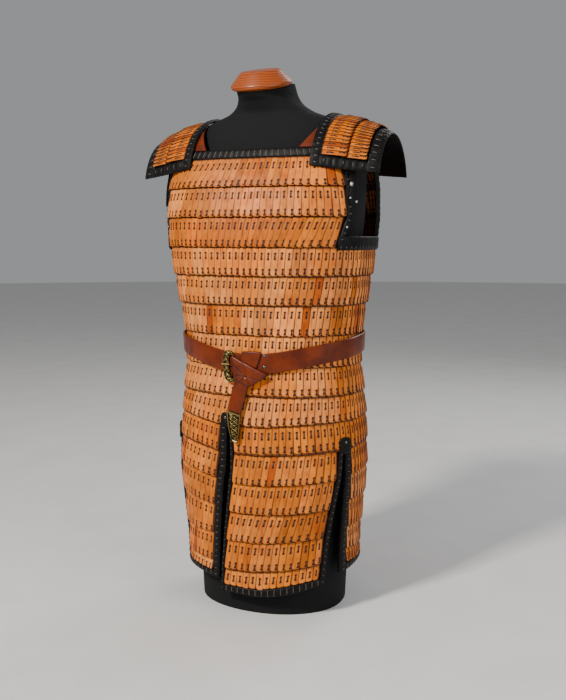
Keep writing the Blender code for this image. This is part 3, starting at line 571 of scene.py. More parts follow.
def laced_plates(shape, place, high, low, high_stops, low_stops, closed, shares, scale, hidden, end_laces=True):
    """Real overlapping lamellae between two lines of stops, each with its holes and laces.

    high and low are levels, scale is how many levels go to a metre down the row, and hidden is
    the length that the row above covers. Without end_laces the lower holes and laces are left out.
    Gives the number of lamellae and their length.
    """
    count, columns, rows = len(low_stops) - 1, len(ACROSS), len(DOWN)
    down_sign = math.copysign(1.0, low - high)
    length = abs(high - low) / scale
    high_line, low_line = (
        np.append(stops, stops[1] + 360.0 if closed else 2 * stops[-1] - stops[-2])
        for stops in (high_stops, low_stops)
    )
    number = np.arange(count)[:, None]
    spans = np.ones((count, 1))
    if not closed:
        spans[-1] = LAMELLA_PITCH / LAMELLA_WIDTH
    settle, skew, drop = (RNG.normal(0.0, amount, (count, 1)) for amount in (0.00018, 0.05, 0.0005))

    def surface(across, down, proud, cut=0.0):
        """Points at a distance across each lamella and a share down it. Arrays run (lamella, point)."""
        share = across / LAMELLA_PITCH * spans
        at_high = np.interp(number + share, range(count + 2), high_line)
        at_low = np.interp(number + share + skew * down, range(count + 2), low_line)
        level = high + (low + down_sign * (drop - cut) * scale - high) * down
        rise = FLARE * down + LAMELLA_BULGE * np.sin(math.pi * down)
        crown = LAMELLA_CROWN * (1 - (2 * across / LAMELLA_WIDTH - 1) ** 2)
        offset = rise + WALL + STEP * (1 - 1.1 * share) + crown + settle * down + proud
        return place(at_high + (at_low - at_high) * down, level, offset)

    side = np.minimum(ACROSS, LAMELLA_WIDTH - ACROSS)
    corner = np.clip(LAMELLA_CORNER - side, 0.0, LAMELLA_CORNER)
    corner_cut = LAMELLA_CORNER - np.sqrt(LAMELLA_CORNER**2 - corner**2)
    bevel = -BEVEL_DEPTH * np.clip(1 - side / BEVEL_WIDTH, 0.0, 1.0) ** 2
    across, cuts, proud = (np.tile(line, rows) for line in (ACROSS, corner_cut, bevel))
    down = np.repeat(DOWN, columns)
    proud = np.minimum(proud, np.where(down == 1.0, -BEVEL_DEPTH, 0.0))
    starts = np.arange(rows) * columns
    rim = np.concatenate([starts, starts + columns - 1, starts[-1] + np.arange(1, columns - 1)])
    across, down, cuts = (np.append(line, line[rim]) for line in (across, down, cuts))
    proud = np.append(proud, np.full(len(rim), -LAMELLA_THICKNESS))
    points = surface(across[None], down[None], proud[None], cuts[None])
    dyes = pick_dyes(count, shares)
    low_shift = RNG.normal(0.0, 0.0012) + RNG.normal(0.0, 0.0004, (count, 1))
    low_side = RNG.normal(0.0, 0.0006) + RNG.normal(0.0, 0.0003, (count, 1))
    top_shift = RNG.normal(0.0, 0.0004, (count, 1))
    travelled = down[None] * length
    from_end = length - travelled - low_shift + (0.0 if end_laces else OUT_OF_REACH)
    marks = 1000 * np.stack(
        [across[None] * np.ones((count, 1)), travelled - hidden - top_shift, from_end], axis=-1
    )
    for k in range(count):
        shape.add(points[k], PLATE_FACES, dye=dyes[k], local=marks[k])
    share = np.linspace(0.0, 1.0, 5)[None]
    from_top, to_end = (ends[0] + (ends[1] - ends[0]) * share for ends in (HOLES_FROM_TOP, HOLES_FROM_END))
    uppers = surface(HOLES_ACROSS + 0 * share, (hidden + top_shift + from_top) / length, LACE_SINK)
    lowers = surface(LOW_HOLES_ACROSS + low_side * (share - 0.5), (length - low_shift - to_end) / length, LACE_SINK)
    for upper, lower in zip(uppers, lowers):
        strand(shape, upper, 0.0017, sides=4, flat=0.4, slot=1)
        if end_laces:
            strand(shape, lower, 0.0015, sides=4, flat=0.4, slot=1)
    return count, length


def finish_row(shape, name, count, length, rests_on, lamella_width=LAMELLA_WIDTH):
    """Finishes a laced row of that many lamellae."""
    flat = (count * lamella_width, length)
    finish_piece(
        shape, name, "lamellae", "lamella", flat=flat, held="laid", rests_on=[rests_on], area=flat[0] * length
    )


def body_row(name, number, start, end, closed=False, place=armour):
    low, high = row_limits(number)
    lean, shares = ROWS[number - 1][2:]
    middle = (low + high) / 2
    count = 2 * round(arc_length(start(middle), end(middle), middle) / PITCH / 2)
    high_stops = even_stops(start(high), end(high), high, count, 0.0)
    low_stops = even_stops(start(low), end(low), low, count, lean)
    drops = np.linalg.norm(place(low_stops, high, 0.0) - place(low_stops, low, 0.0), axis=1)
    scale = (high - low) / drops.mean()
    hidden = 0.0 if number == 1 else OVERLAP / scale
    shape = Shape()
    count, length = laced_plates(
        shape, place, high, low, high_stops, low_stops, closed, shares, scale, hidden, number < 15
    )
    finish_row(shape, name, count, length, "form_torso")


def edge_angle(index):
    """The angle of one slit edge at a height."""
    return lambda height: float(column(SLIT_EDGES, index, height))


def armhole_angle(index, sign):
    return lambda height: sign * float(column(ARMHOLE_EDGES, index, height))


def shifted(edge, degrees):
    return lambda height: edge(height) + degrees


def inset(edge, distance):
    """An edge's angle moved round the body by a distance, positive towards the figure's left."""

    def angle(height):
        at = edge(height)
        per_degree = np.linalg.norm(armour(at + 0.5, height, 0.0) - armour(at - 0.5, height, 0.0))
        return at + distance / float(per_degree)

    return angle


def trimmed(edge, width):
    """An edge with room for its edging: width is below 0 for the edge where a panel ends."""
    return inset(edge, width + math.copysign(EDGE_GAP, width))


def make_rows():
    for number in (1, 2, 3):
        body_row(f"breast_row_{number}", number, armhole_angle(1, -1), armhole_angle(1, 1))
        body_row(f"back_row_{number}", number, armhole_angle(2, 1), shifted(armhole_angle(2, -1), 360.0))
    for number in range(4, 10):
        place = armour if number < 9 else hung("ring")
        body_row(f"body_row_{number}", number, lambda _: -180.0, lambda _: 180.0, True, place)
    start = trimmed(edge_angle(2), EDGING_WIDTHS["front_left"][0])
    end = shifted(trimmed(edge_angle(1), -EDGING_WIDTHS["front_right"][1]), 360.0)
    body_row("body_row_10", 10, start, end, place=hung("ring"))
    for panel, start, end in skirt_panels():
        first, last = EDGING_WIDTHS[panel]
        for number in range(11, 16):
            name = f"skirt_{panel}_row_{number}"
            body_row(name, number, trimmed(start, first), trimmed(end, -last), place=hung(panel))


def skirt_panels():
    """Each panel's name, the edge where it starts and the edge where it ends."""
    return [
        ("front_left", edge_angle(2), edge_angle(3)),
        ("back", edge_angle(4), shifted(edge_angle(6), 360.0)),
        ("front_right", edge_angle(5), edge_angle(1)),
    ]


def edging(
    shape, place, stops, middle, across, inside, outside, pucker, shares, spacing=STITCH_SPACING, radius=0.0008
):
    """A folded leather edging with lace stitches laid across it. Gives its length.

    across gives its two edges at a stop, middle the line on which its length is measured, pucker
    how deep its stitches pull, and shares where a stitch starts and ends across it.
    """
    run = run_of([middle(stop) for stop in stops])
    rings = []
    for stop, distance in zip(stops, run):
        first, second = across(stop)
        pull = pucker * math.cos(2 * math.pi * distance / STITCH_SPACING)
        ring = []
        for share, level in EDGING_PROFILE:
            at = first + (second - first) * (share + (share - 0.5) * pull * 40)
            ring.append(place(at, stop, inside + (outside - inside - pull * 0.8) * level))
        rings.append(ring)
    loft(shape, rings)
    count = max(2, int(run[-1] / spacing))
    for stop in np.interp((np.arange(count) + 0.5) * run[-1] / count, run, stops):
        first, second = across(stop)
        line = []
        for share, arch in zip(np.linspace(*shares, 5), STITCH_ARCH):
            line.append(place(first + (second - first) * share, stop, outside + (arch - 0.55) * radius))
        strand(shape, line, radius, flat=0.8, slot=1)
    return run[-1]


def side_edging(shape, place, edge, width, heights, shares):
    """An edging up an edge of a panel: width is below 0 for the edge where the panel ends."""

    def middle(height):
        return place(edge(height), height, BINDING_OUT)

    def across(height):
        return edge(height), inset(edge, width)(height)

    return edging(shape, place, heights, middle, across, BINDING_IN, BINDING_OUT, 0.0006, shares)


def finish_edging(shape, name, width, length, rests_on):
    finish_piece(shape, name, "edging", "edging", flat=(width, length), held="stretched", rests_on=rests_on)


def make_skirt_bindings():
    hem_top, side_top, front_top = (row_limits(number)[0] - BINDING_GAP for number in (15, 10, 9))
    hem = (hem_top - HEM_WIDTH, hem_top)
    outside = BINDING_OUT - EDGING_STEP
    for panel, start, end in skirt_panels():
        shape = Shape()
        place = hung(panel)
        first_width, last_width = EDGING_WIDTHS[panel]
        sides = [
            # outer edge, width towards the panel's inside, top of the leg
            (start, first_width, front_top if panel == "front_left" else side_top),
            (end, -last_width, front_top if panel == "front_right" else side_top),
        ]
        total = 0.0
        for edge, width, top in sides:
            total += side_edging(shape, place, edge, width, np.linspace(hem[0], top, 90), (0.34, 0.66))
        first, last = inset(start, first_width * 0.9)(hem_top), inset(end, -last_width * 0.9)(hem_top)
        angles = np.linspace(first, last, int(arc_length(first, last, hem_top) / 0.004))

        def middle(angle):
            return place(angle, hem[0], BINDING_OUT)

        total += edging(
            shape, levelled(place), angles, middle, lambda _: hem, BINDING_IN, outside, 0.0005, (0.12, 0.86)
        )
        rows = [f"skirt_{panel}_row_{number}" for number in range(11, 16)]
        finish_edging(shape, f"skirt_binding_{panel}", 0.018, total, rows)


def make_top_bindings():
    low = row_limits(1)[1] + GAP
    edges = (low, low + TOP_BINDING_HEIGHT)
    outside = 0.0066

    def middle(angle):
        return armour(angle, low, outside)

    for side, row, centre, half in (("front", "breast_row_1", 0.0, 64.0), ("back", "back_row_1", 180.0, 62.0)):
        shape = Shape()
        angles = np.linspace(centre - half, centre + half, 150)
        total = edging(
            shape, levelled(armour), angles, middle, lambda _: edges, 0.0006, outside, 0.0004, (0.10, 0.86)
        )
        finish_edging(shape, f"top_binding_{side}", 0.022, total, [row])


def make_armhole_bindings():
    low = row_limits(4)[1] + GAP
    heights = np.linspace(low, row_limits(1)[1], 50)
    start = inset(armhole_angle(1, 1), EDGE_GAP)
    end = inset(armhole_angle(2, 1), -EDGE_GAP)
    angles = np.linspace(start(low), end(low), 56)
    rim = (low - ARMHOLE_BAND_DROP, low + BINDING_WIDTH)
    outside = BINDING_OUT + EDGING_STEP

    def middle(angle):
        return armour(angle, low, BINDING_OUT)

    for side, sign in SIDES:
        shape = Shape()
        place = mirrored(sign)
        total = side_edging(shape, place, start, BINDING_WIDTH, heights, (0.25, 0.75))
        total += side_edging(shape, place, end, -BINDING_WIDTH, heights, (0.25, 0.75))
        rivet(shape, place, inset(start, 0.0058)(0.780), 0.780, BINDING_OUT, 0.0024, 0.0014, slot=2)
        total += edging(
            shape, levelled(place), angles, middle, lambda _: rim, ARMHOLE_BAND_SEAT, outside, 0.0005, (0.14, 0.30)
        )
        finish_edging(shape, f"armhole_binding_{side}", 0.021, total, ["breast_row_3", "back_row_3"])


def plate(shape, place, grid, columns, inside, marks, rim_mark):
    """A plate whose front is a grid of places in rows of that many columns, with a plain back at a level."""
    rows = len(grid) // columns
    rim = [*range(columns), *(i * columns + columns - 1 for i in range(1, rows))]
    rim += [(rows - 1) * columns + j for j in range(columns - 2, -1, -1)]
    rim += [i * columns for i in range(rows - 2, 0, -1)]
    base, count = len(grid), len(rim)
    faces = grid_faces(rows, columns)
    faces += [(rim[k], base + k, base + (k + 1) % count, rim[(k + 1) % count]) for k in range(count)]
    faces.append(tuple(base + k for k in reversed(range(count))))
    points = [place(*point) for point in grid] + [place(*grid[k][:2], inside) for k in rim]
    shape.add(points, faces, local=marks + [rim_mark] * count)


def patch(shape, place, corners, inside, outside, steps, crown=0.0, round_corner=0.18, relief=None):
    """A soft-edged leather patch between four corners, with rounded corners and a crowned face.

    relief gives how far a place is raised and how dark the painted shade is there.
    """
    corners = np.array(corners, float)
    columns, rows = steps
    grid, marks = [], []
    for v in np.linspace(-1.0, 1.0, rows):
        for u in np.linspace(-1.0, 1.0, columns):
            pull = 1.0 - round_corner * (u * u * v * v)
            low = corners[0] + (corners[1] - corners[0]) * (u * pull + 1) / 2
            high = corners[3] + (corners[2] - corners[3]) * (u * pull + 1) / 2
            at = low + (high - low) * (v * pull + 1) / 2
            border = max(abs(u), abs(v))
            rise = 1.0 - 0.45 * max(0.0, (border - 0.86) / 0.14) ** 2
            raised, dark = relief(u, v) if relief else (0.0, 0.0)
            grid.append((*at, inside + (outside - inside) * rise + crown * (1 - u * u) * (1 - v * v) + raised))
            # The first mark carries the relief's painted shade.
            marks.append((dark, border, 0.0))
    plate(shape, place, grid, columns, inside, marks, (0.6, 1.0, 0.0))


def rivet(shape, place, angle, height, level, radius, rise, **marks):
    """A domed rivet head on a surface."""
    centre = place(angle, height, level)
    out = place(angle, height, level + 0.01) - centre
    out /= np.linalg.norm(out)
    side = np.cross((0.0, 0.0, 1.0), out)
    side /= np.linalg.norm(side)
    turn = around(16)[:, None]
    circle = np.cos(turn) * side + np.sin(turn) * np.cross(out, side)
    profile = [(0.0, 1.0), (0.25, 1.0)]
    profile += [(0.25 + 0.75 * math.sin(t), math.cos(t)) for t in np.linspace(0.2, 1.35, 5)]
    loft(shape, [centre + out * rise * up + radius * width * circle for up, width in profile], **marks)


def make_slit_heads():
    inside = BINDING_OUT + GAP
    outside = inside + SLIT_HEAD_THICKNESS
    for name, angle, half, number, below, above in SLIT_HEADS:
        shape = Shape()
        edge = row_limits(number)[0]
        low, high = edge - below, edge + above
        corners = [(angle - half, low), (angle + half, low), (angle + half, high), (angle - half, high)]
        patch(shape, armour, corners, inside, outside, (14, 18))
        rivet(shape, armour, angle, high - 0.010, outside - 0.0002, 0.0030, 0.0016, slot=2)
        flat = (2 * half / 360 * WAIST_GIRTH, below + above)
        finish_piece(shape, name, "patch", "slit_head", flat=flat, held="laid", rests_on=["body_row_10"])


def guard_middle(share, outwards):
    """Points of a left guard's middle surface: share runs from -1 at the front to +1 at the back."""
    share, outwards = np.broadcast_arrays(np.asarray(share, float), np.asarray(outwards, float))
    reach, ridge, front, middle, half = (column(GUARD_EDGES, index, outwards) for index in range(1, 6))
    turn = share * GUARD_ARCH
    y = middle + half * np.sin(turn) / math.sin(GUARD_ARCH)
    z = ridge - (ridge - front) * (1 - np.cos(turn)) / (1 - math.cos(GUARD_ARCH))
    return np.stack([reach, y, z], axis=-1) + SHIFT


def offset_from(surface, first, second, offset):
    """Surface points moved along the surface's own normal, which points up."""
    small = 0.002
    along = surface(first + small, second) - surface(first - small, second)
    across = surface(first, second + small) - surface(first, second - small)
    normal = np.cross(along, across)
    normal *= np.where(normal[..., 2:] < 0, -1.0, 1.0)
    normal /= np.linalg.norm(normal, axis=-1, keepdims=True)
    return surface(first, second) + np.asarray(offset)[..., None] * normal


def guard_stops(outwards, count):
    fine = np.linspace(-1 + GUARD_END_BORDER, 1 - GUARD_END_BORDER, 121)
    run = run_of(guard_middle(fine, outwards))
    return np.interp(np.linspace(0.0, run[-1], count + 1), run, fine)


def make_guards():
    rows = [
        # name, upper edge, lower edge as shares outwards, covered length
        ("inner", GUARD_INNER_BORDER, GUARD_INNER_ROW_END, 0.0),
        ("outer", GUARD_OUTER_ROW_START, GUARD_OUTER_BORDER, 0.0105),
    ]
    for side, sign in SIDES:

        def place(share, outwards, offset):
            share, outwards, offset = np.broadcast_arrays(share, np.clip(outwards, 0.003, 0.997), offset)
            return offset_from(guard_middle, share, outwards, offset) * np.array([sign, 1.0, 1.0])

        for row, high, low, hidden in rows:
            shape = Shape()
            stops = [guard_stops(outwards, GUARD_LAMELLAE) for outwards in (high, low)]
            count, length = laced_plates(
                shape, place, high, low, *stops, False, GUARD_TONES, 1 / GUARD_LENGTH, hidden
            )
            pitch = run_of(guard_middle(stops[0], (high + low) / 2))[-1] / count
            width = pitch * LAMELLA_WIDTH / LAMELLA_PITCH
            finish_row(shape, f"guard_{side}_{row}_row", count, length, f"shoulder_strap_{side}", width)
        make_guard_border(side, place)


def make_guard_border(side, place):
    """The black edging on all four sides of a guard, its lace stitches and the thin backing under its rows."""
    shape = Shape()
    total = 0.0
    outside, radius = GUARD_BORDER_THICKNESS, 0.0010
    shares = np.linspace(-0.998, 0.998, 110)
    for edges, spacing in (((0.0, GUARD_INNER_BORDER), 0.0125), ((1.0, GUARD_OUTER_BORDER), 0.0140)):
        stitch = (0.0, outside, 0.0005, (0.38, 0.72), spacing, radius)
        total += edging(
            shape, levelled(place), shares, lambda share: guard_middle(share, edges[0]), lambda _: edges, *stitch
        )
    outs = np.linspace(GUARD_INNER_BORDER * 0.9, GUARD_OUTER_BORDER + 0.02, 50)
    for end in (-1, 1):
        edges = (end * 1.0, end * (1.0 - GUARD_END_BORDER))
        stitch = (0.0, outside - EDGING_STEP, 0.0005, (0.35, 0.7), 0.0180, radius)
        total += edging(shape, place, outs, lambda out: guard_middle(edges[0], out), lambda _: edges, *stitch)
    shares, outs = np.linspace(-0.92, 0.92, 70), np.linspace(0.08, 0.92, 14)
    levels = np.repeat([-0.0001, -0.0007], 14)
    loft(shape, [place(share, np.append(outs, outs[::-1]), levels) for share in shares])
    middle = run_of(guard_middle(shares, 0.5))[-1]
    flat = (GUARD_LENGTH + 2 * GUARD_EDGING_CUT, middle + 2 * GUARD_EDGING_CUT)
    area = GUARD_EDGING_CUT * total + middle * GUARD_LENGTH * 0.84
    name, rests_on = f"guard_{side}_border", [f"shoulder_strap_{side}"]
    finish_piece(shape, name, "edging", "edging", flat=flat, held="stretched", rests_on=rests_on, area=area)


def strap_middle(share, across):
    """Points of a left strap's upper face, under the guard and down to the top bindings at both ends."""
    share, across = np.broadcast_arrays(np.asarray(share, float), np.asarray(across, float))
    drop = np.array([0.0, 0.0, STRAP_DROP])
    outwards = STRAP_INNER_EDGE + STRAP_WIDTH_SHARE * across
    under = guard_middle(share * STRAP_REACH, outwards) - drop
    end = guard_middle(np.copysign(STRAP_REACH, share), outwards) - drop
    angle = STRAP_FOOT_ANGLE + STRAP_FOOT_TURN * across
    foot_height = row_limits(1)[1] + GAP + TOP_BINDING_HEIGHT + STRAP_FOOT_GAP
    foot = armour(np.where(share < 0, angle, 180.0 - angle), foot_height, STRAP_FOOT_OUT)
    return under + (foot - end) * (np.abs(share) ** STRAP_BEND)[..., None]


def make_shoulder_straps():
    """Straps with rounded edges and a line of stitches along both edges."""
    profile = [
        # share across, share of the thickness below the upper face, mirrored for the other half
        (0.0, 1.0),
        (0.0, 0.4),
        (0.03, 0.1),
        (0.09, 0.0),
        (0.5, -0.05),
    ]
    profile += [(1.0 - share, level) for share, level in reversed(profile[:-1])]
    across = np.array([share for share, _ in profile])
    offsets = np.array([-level * STRAP_THICKNESS for _, level in profile])
    level = np.array([-0.0005, 0.0001, 0.0003, 0.0001, -0.0005])
    for side, sign in SIDES:
        mirror = np.array([sign, 1.0, 1.0])
        shape = Shape()
        shares = np.linspace(-1.0, 1.0, 90)
        loft(shape, [offset_from(strap_middle, share + 0 * across, across, offsets) * mirror for share in shares])
        for row in (0.10, 0.90):
            for k in range(-19, 20):
                along = k * 0.05 + np.linspace(-0.013, 0.013, 5)
                line = offset_from(strap_middle, along, row + 0 * along, level) * mirror
                strand(shape, line, 0.0005, sides=4, slot=1)
        name = f"shoulder_strap_{side}"
        finish_piece(shape, name, "leather", "strap", flat=(0.040, 0.30), held="stretched", rests_on=["form_torso"])


def make_arm_straps():
    """A strap with three rivets from each armhole's front edge up to the guard."""
    inside = BINDING_OUT + ARM_STRAP_GAP
    outside = inside + STRAP_THICKNESS
    for side, sign in SIDES:
        shape = Shape()
        place = mirrored(sign)
        patch(shape, place, ARM_STRAP_CORNERS, inside, outside, (12, 40), crown=0.0004, round_corner=0.06)
        for angle, height, radius in ARM_STRAP_RIVETS:
            rivet(shape, place, angle, height, outside, radius, 0.0015, slot=2)
        rests_on = [f"armhole_binding_{side}"]
        finish_piece(
            shape, f"arm_strap_{side}", "leather", "edging", flat=(0.018, 0.118), held="stretched", rests_on=rests_on
        )


def belt_middle(angle):
    angles, heights = zip(*BELT_LINE)
    return float(np.interp(angle + RISE_BLUR, angles, heights, period=360.0).mean())


def on_belt(angle, height, offset):
    """A point on the belt, which is straight between its edges, or on the armour below it."""
    low, high = belt_middle(angle) - BELT_HALF, belt_middle(angle) + BELT_HALF
    if height <= low:
        return armour(angle, height, offset)
    share = (height - low) / (high - low)
    return armour(angle, low, offset) * (1 - share) + armour(angle, high, offset) * share


def knot_relief(u, v):
    """Folds that meet at the knot's middle: how far they lift the leather, and how dark the painted shade is in the
    knot's middle and along the folds.
    """
    x, y = u - 0.12, v + 0.22
    # Painted shade in the knot's middle, with painted shade along each fold's valley added below.
    dark = math.exp(-((x / 0.09) ** 2) - (y / 0.12) ** 2)
    rise = -0.0014 * dark
    for turn, depth in KNOT_FOLDS:
        along = x * math.cos(turn) + y * math.sin(turn)
        off = y * math.cos(turn) - x * math.sin(turn)
        if along > 0.0:
            valley = depth * math.exp(-((off / (0.05 + 0.09 * along)) ** 2)) * min(1.0, along / 0.1)
            rise -= 0.0007 * valley
            dark = max(dark, 0.55 * valley)
    rise += 0.0012 * math.exp(-(((v - 0.80) / 0.16) ** 2))
    return rise, dark


def fold_relief(u, v):
    """A turned edge beside the rivets, with painted shade where it leaves the belt."""
    return 0.0006 * math.exp(-(((u - 0.72) / 0.16) ** 2)), 0.9 * max(0.0, (u - 0.86) / 0.14)


def tail_relief(u, v):
    """A tail that bows from edge to edge, with painted shadow where it comes out under the knot."""
    return 0.0005 * (1 - u * u), 0.8 * max(0.0, (v - 0.62) / 0.38)


BELT_PIECES = [
    # name, layer, relief, corners as an angle and a height from the belt's middle at the buckle
    ("belt_fold", 0, fold_relief, [(-1.5, -0.002), (13.8, -0.010), (18.0, 0.0235), (1.0, 0.0235)]),
    ("belt_knot", 1, knot_relief, [(-6.0, -0.0305), (8.6, -0.0465), (24.2, -0.0205), (-8.8, 0.016)]),
    ("belt_tail", 0, tail_relief, [(-10.6, -0.0938), (1.3, -0.1012), (8.0, -0.034), (-4.5, -0.0275)]),
]


def make_belt():
    shape = Shape()
    half = BELT_HALF
    profile = [
        # height from the middle, share of the thickness, mirrored for the upper half
        (-half, 0.0),
        (-half, 0.5),
        (-half + 0.0012, 0.9),
        (-half + 0.0035, 1.0),
        (-half * 0.4, 1.0),
    ]
    profile += [(-rise, level) for rise, level in reversed(profile)]
    rings = []
    for angle in np.linspace(-180.0, 180.0, 240, endpoint=False):
        middle = belt_middle(angle)
        rings.append([on_belt(angle, middle + rise, BELT_IN + BELT_THICKNESS * level) for rise, level in profile])
    loft(shape, rings, closed=True)
    flat, rows = (2 * half, 1.09), ["body_row_6", "body_row_7"]
    finish_piece(shape, "belt_band", "", "belt", "belt_strap", flat=flat, held="stretched", rests_on=rows)
    front = belt_middle(BUCKLE_ANGLE)
    for name, layer, relief, corners in BELT_PIECES:
        shape = Shape()
        inside = BELT_OUT + BELT_LAYER_START + layer * BELT_LAYER_PITCH
        outside = inside + BELT_PIECE_THICKNESS
        placed = [(angle, front + rise) for angle, rise in corners]
        patch(shape, on_belt, placed, inside, outside, (48, 48), 0.0006, 0.04, relief)
        a, b, c, d = (armour(angle, height, inside) for angle, height in placed)
        width, length = (float(np.linalg.norm(sides, axis=1).mean()) for sides in ((b - a, c - d), (d - a, c - b)))
        finish_piece(shape, name, "leather", "belt", flat=(width, length), held="folded", rests_on=["belt_band"])
    make_chape(front)
    make_buckle(front)
    for index, rise in enumerate(RIVETS, 1):
        shape = Shape()
        rivet(shape, on_belt, RIVET_ANGLE, front + rise, BELT_OUT + GAP, 0.0032, 0.0018)
        finish_piece(shape, f"belt_rivet_{index}", "head", "belt_rivet")


def chape_relief(u, v):
    """The height of a plain woven relief at a place across and down the chape, from 0 to 1."""
    turn = v * math.pi * 7.0
    over = 0.5 + 0.5 * math.cos(turn)
    strands = [
        # middle, half width, height
        (0.60 * math.sin(turn), 0.20, 0.5 + 0.4 * over),
        (-0.60 * math.sin(turn), 0.20, 0.9 - 0.4 * over),
        (0.50 * math.cos(turn), 0.16, 0.75),
    ]
    woven = max(max(0.0, 1.0 - abs(u - middle) / half) ** 0.6 * height for middle, half, height in strands)
    rim = np.clip((max(abs(u), abs(2 * v - 1)) - 0.84) / 0.06, 0.0, 1.0)
    return float(max(woven * (1 - rim), rim))


def make_chape(front):
    shape = Shape()
    depths, lefts, rights = np.array(CHAPE_EDGES).T
    grid, marks = [], []
    for v in np.linspace(0.0, 1.0, 70):
        depth = depths[0] + (depths[-1] - depths[0]) * v
        left, right = np.interp(depth, depths, lefts), np.interp(depth, depths, rights)
        for u in np.linspace(-1.0, 1.0, 40):
            angle = left + (right - left) * (u + 1) / 2
            slope = CHAPE_SLOPE * (angle - lefts[0])
            relief = chape_relief(u, v)
            grid.append((angle, front - depth - 0.0004 - slope, BELT_OUT + 0.0034 + 0.0016 * relief))
            marks.append((relief, 0.0, 0.0))
    plate(shape, armour, grid, 40, BELT_OUT, marks, (0.5, 0.0, 0.0))
    finish_piece(shape, "belt_chape", "relief", "brass")


def squared(value, power):
    """A sine or cosine bent towards a square by a power below 1."""
    return math.copysign(abs(value) ** power, value)


def make_buckle(front):
    """A cast frame with scrolls along its bow, and its pin."""
    shape = Shape()
    inside = BELT_OUT + BELT_LAYER_START
    rings, marks = [], []
    for turn in around(200):
        ends = []
        for middle, half_turn, half_height in (BUCKLE_OUTER, BUCKLE_INNER):
            rise = half_height * squared(math.cos(turn), 0.8)
            angle = middle + half_turn * squared(math.sin(turn), 0.7) - BUCKLE_LEAN * rise
            ends.append(np.array([angle, front + BUCKLE_RISE + rise]))
        ring, ring_marks = [], []
        for share in np.linspace(0.0, 1.0, 13):
            scroll = 0.5 + 0.5 * math.cos(12 * turn + 9.0 * abs(share - 0.5))
            leaf = 0.5 + 0.5 * math.cos(24 * turn - 6.0 * share)
            arch = max(0.0, math.sin(math.pi * share))
            relief = max((0.62 * scroll + 0.38 * leaf) * arch**0.5, 0.85 * (1.0 - 9.0 * min(share, 1.0 - share)))
            rise = 0.0024 + 0.0012 * arch + 0.0012 * relief
            ring.append(on_belt(*(ends[0] + (ends[1] - ends[0]) * share), inside + rise))
            ring_marks.append((relief, 0.0, 0.0))
        rings.append([on_belt(*ends[0], inside), *ring, on_belt(*ends[1], inside)])
        marks += [(0.1, 0.0, 0.0), *ring_marks, (0.1, 0.0, 0.0)]
    loft(shape, rings, closed=True, local=marks)
    finish_piece(shape, "buckle_frame", "cast", "brass")
    shape = Shape()
    rings = []
    half = BELT_PIECE_THICKNESS / 2
    middle = inside + BELT_LAYER_PITCH + half
    for share in np.linspace(0.0, 1.0, 25):
        angle = PIN_ENDS[0] + (PIN_ENDS[1] - PIN_ENDS[0]) * share
        reach = PIN_HALF_HEIGHT * (1.0 - 0.45 * share)
        ring = []
        for turn in around(12):
            ring.append(on_belt(angle, front + PIN_RISE + reach * math.cos(turn), middle + half * math.sin(turn)))
        rings.append(ring)
    loft(shape, rings, local=(0.9, 0.0, 0.0))
    finish_piece(shape, "buckle_pin", "bar", "brass")


def form_ring(angles, height):
    ring = round_body(FORM_SECTIONS, angles, height, 0.0, smooth_column)
    top = FORM_SECTIONS[-1][0]
    lift = max(0.0, height - NECK_START) / (top - NECK_START)
    ring[:, 0] += NECK_SHIFT * lift**1.5
    if height > NECK_TILT_START:
        tipped = (height - NECK_TILT_START) / (top - NECK_TILT_START)
        middle = (ring[:, 1].min() + ring[:, 1].max()) / 2
        ring[:, 2] += (ring[:, 1] - middle) * math.tan(math.radians(NECK_TILT)) * tipped
    return ring + SHIFT


def make_form():
    shape = Shape()
    angles = np.linspace(-180.0, 180.0, 120, endpoint=False)
    heights = np.concatenate([np.linspace(0.0, 0.9, 60, endpoint=False), np.linspace(0.9, 1.058, 60)])
    loft(shape, [form_ring(angles, height) for height in heights])
    finish_piece(shape, "form_torso", "jersey", "jersey")
    shape = Shape()
    tilt = math.radians(NECK_TILT)
    half, rim = CAP_THICKNESS / 2, CAP_RIM
    profile = [(-half, 0.001), (-half, CAP_RADIUS - rim)]
    for t in np.linspace(0.3, 2.3, 10):
        profile.append((-half + rim - rim * math.cos(t), CAP_RADIUS - rim + rim * math.sin(t)))
    profile += [(half + drop, radius) for drop, radius in CAP_TOP]
    turn = around(96)
    rings = []
    for height, radius in profile:
        x, y = radius * np.cos(turn), radius * np.sin(turn)
        level = y * math.cos(tilt) - height * math.sin(tilt)
        up = y * math.sin(tilt) + height * math.cos(tilt)
        rings.append(np.stack([x, level, up], axis=-1) + CAP_CENTRE + SHIFT)
    loft(shape, rings)
    finish_piece(shape, "neck_cap", "wood", "wood")


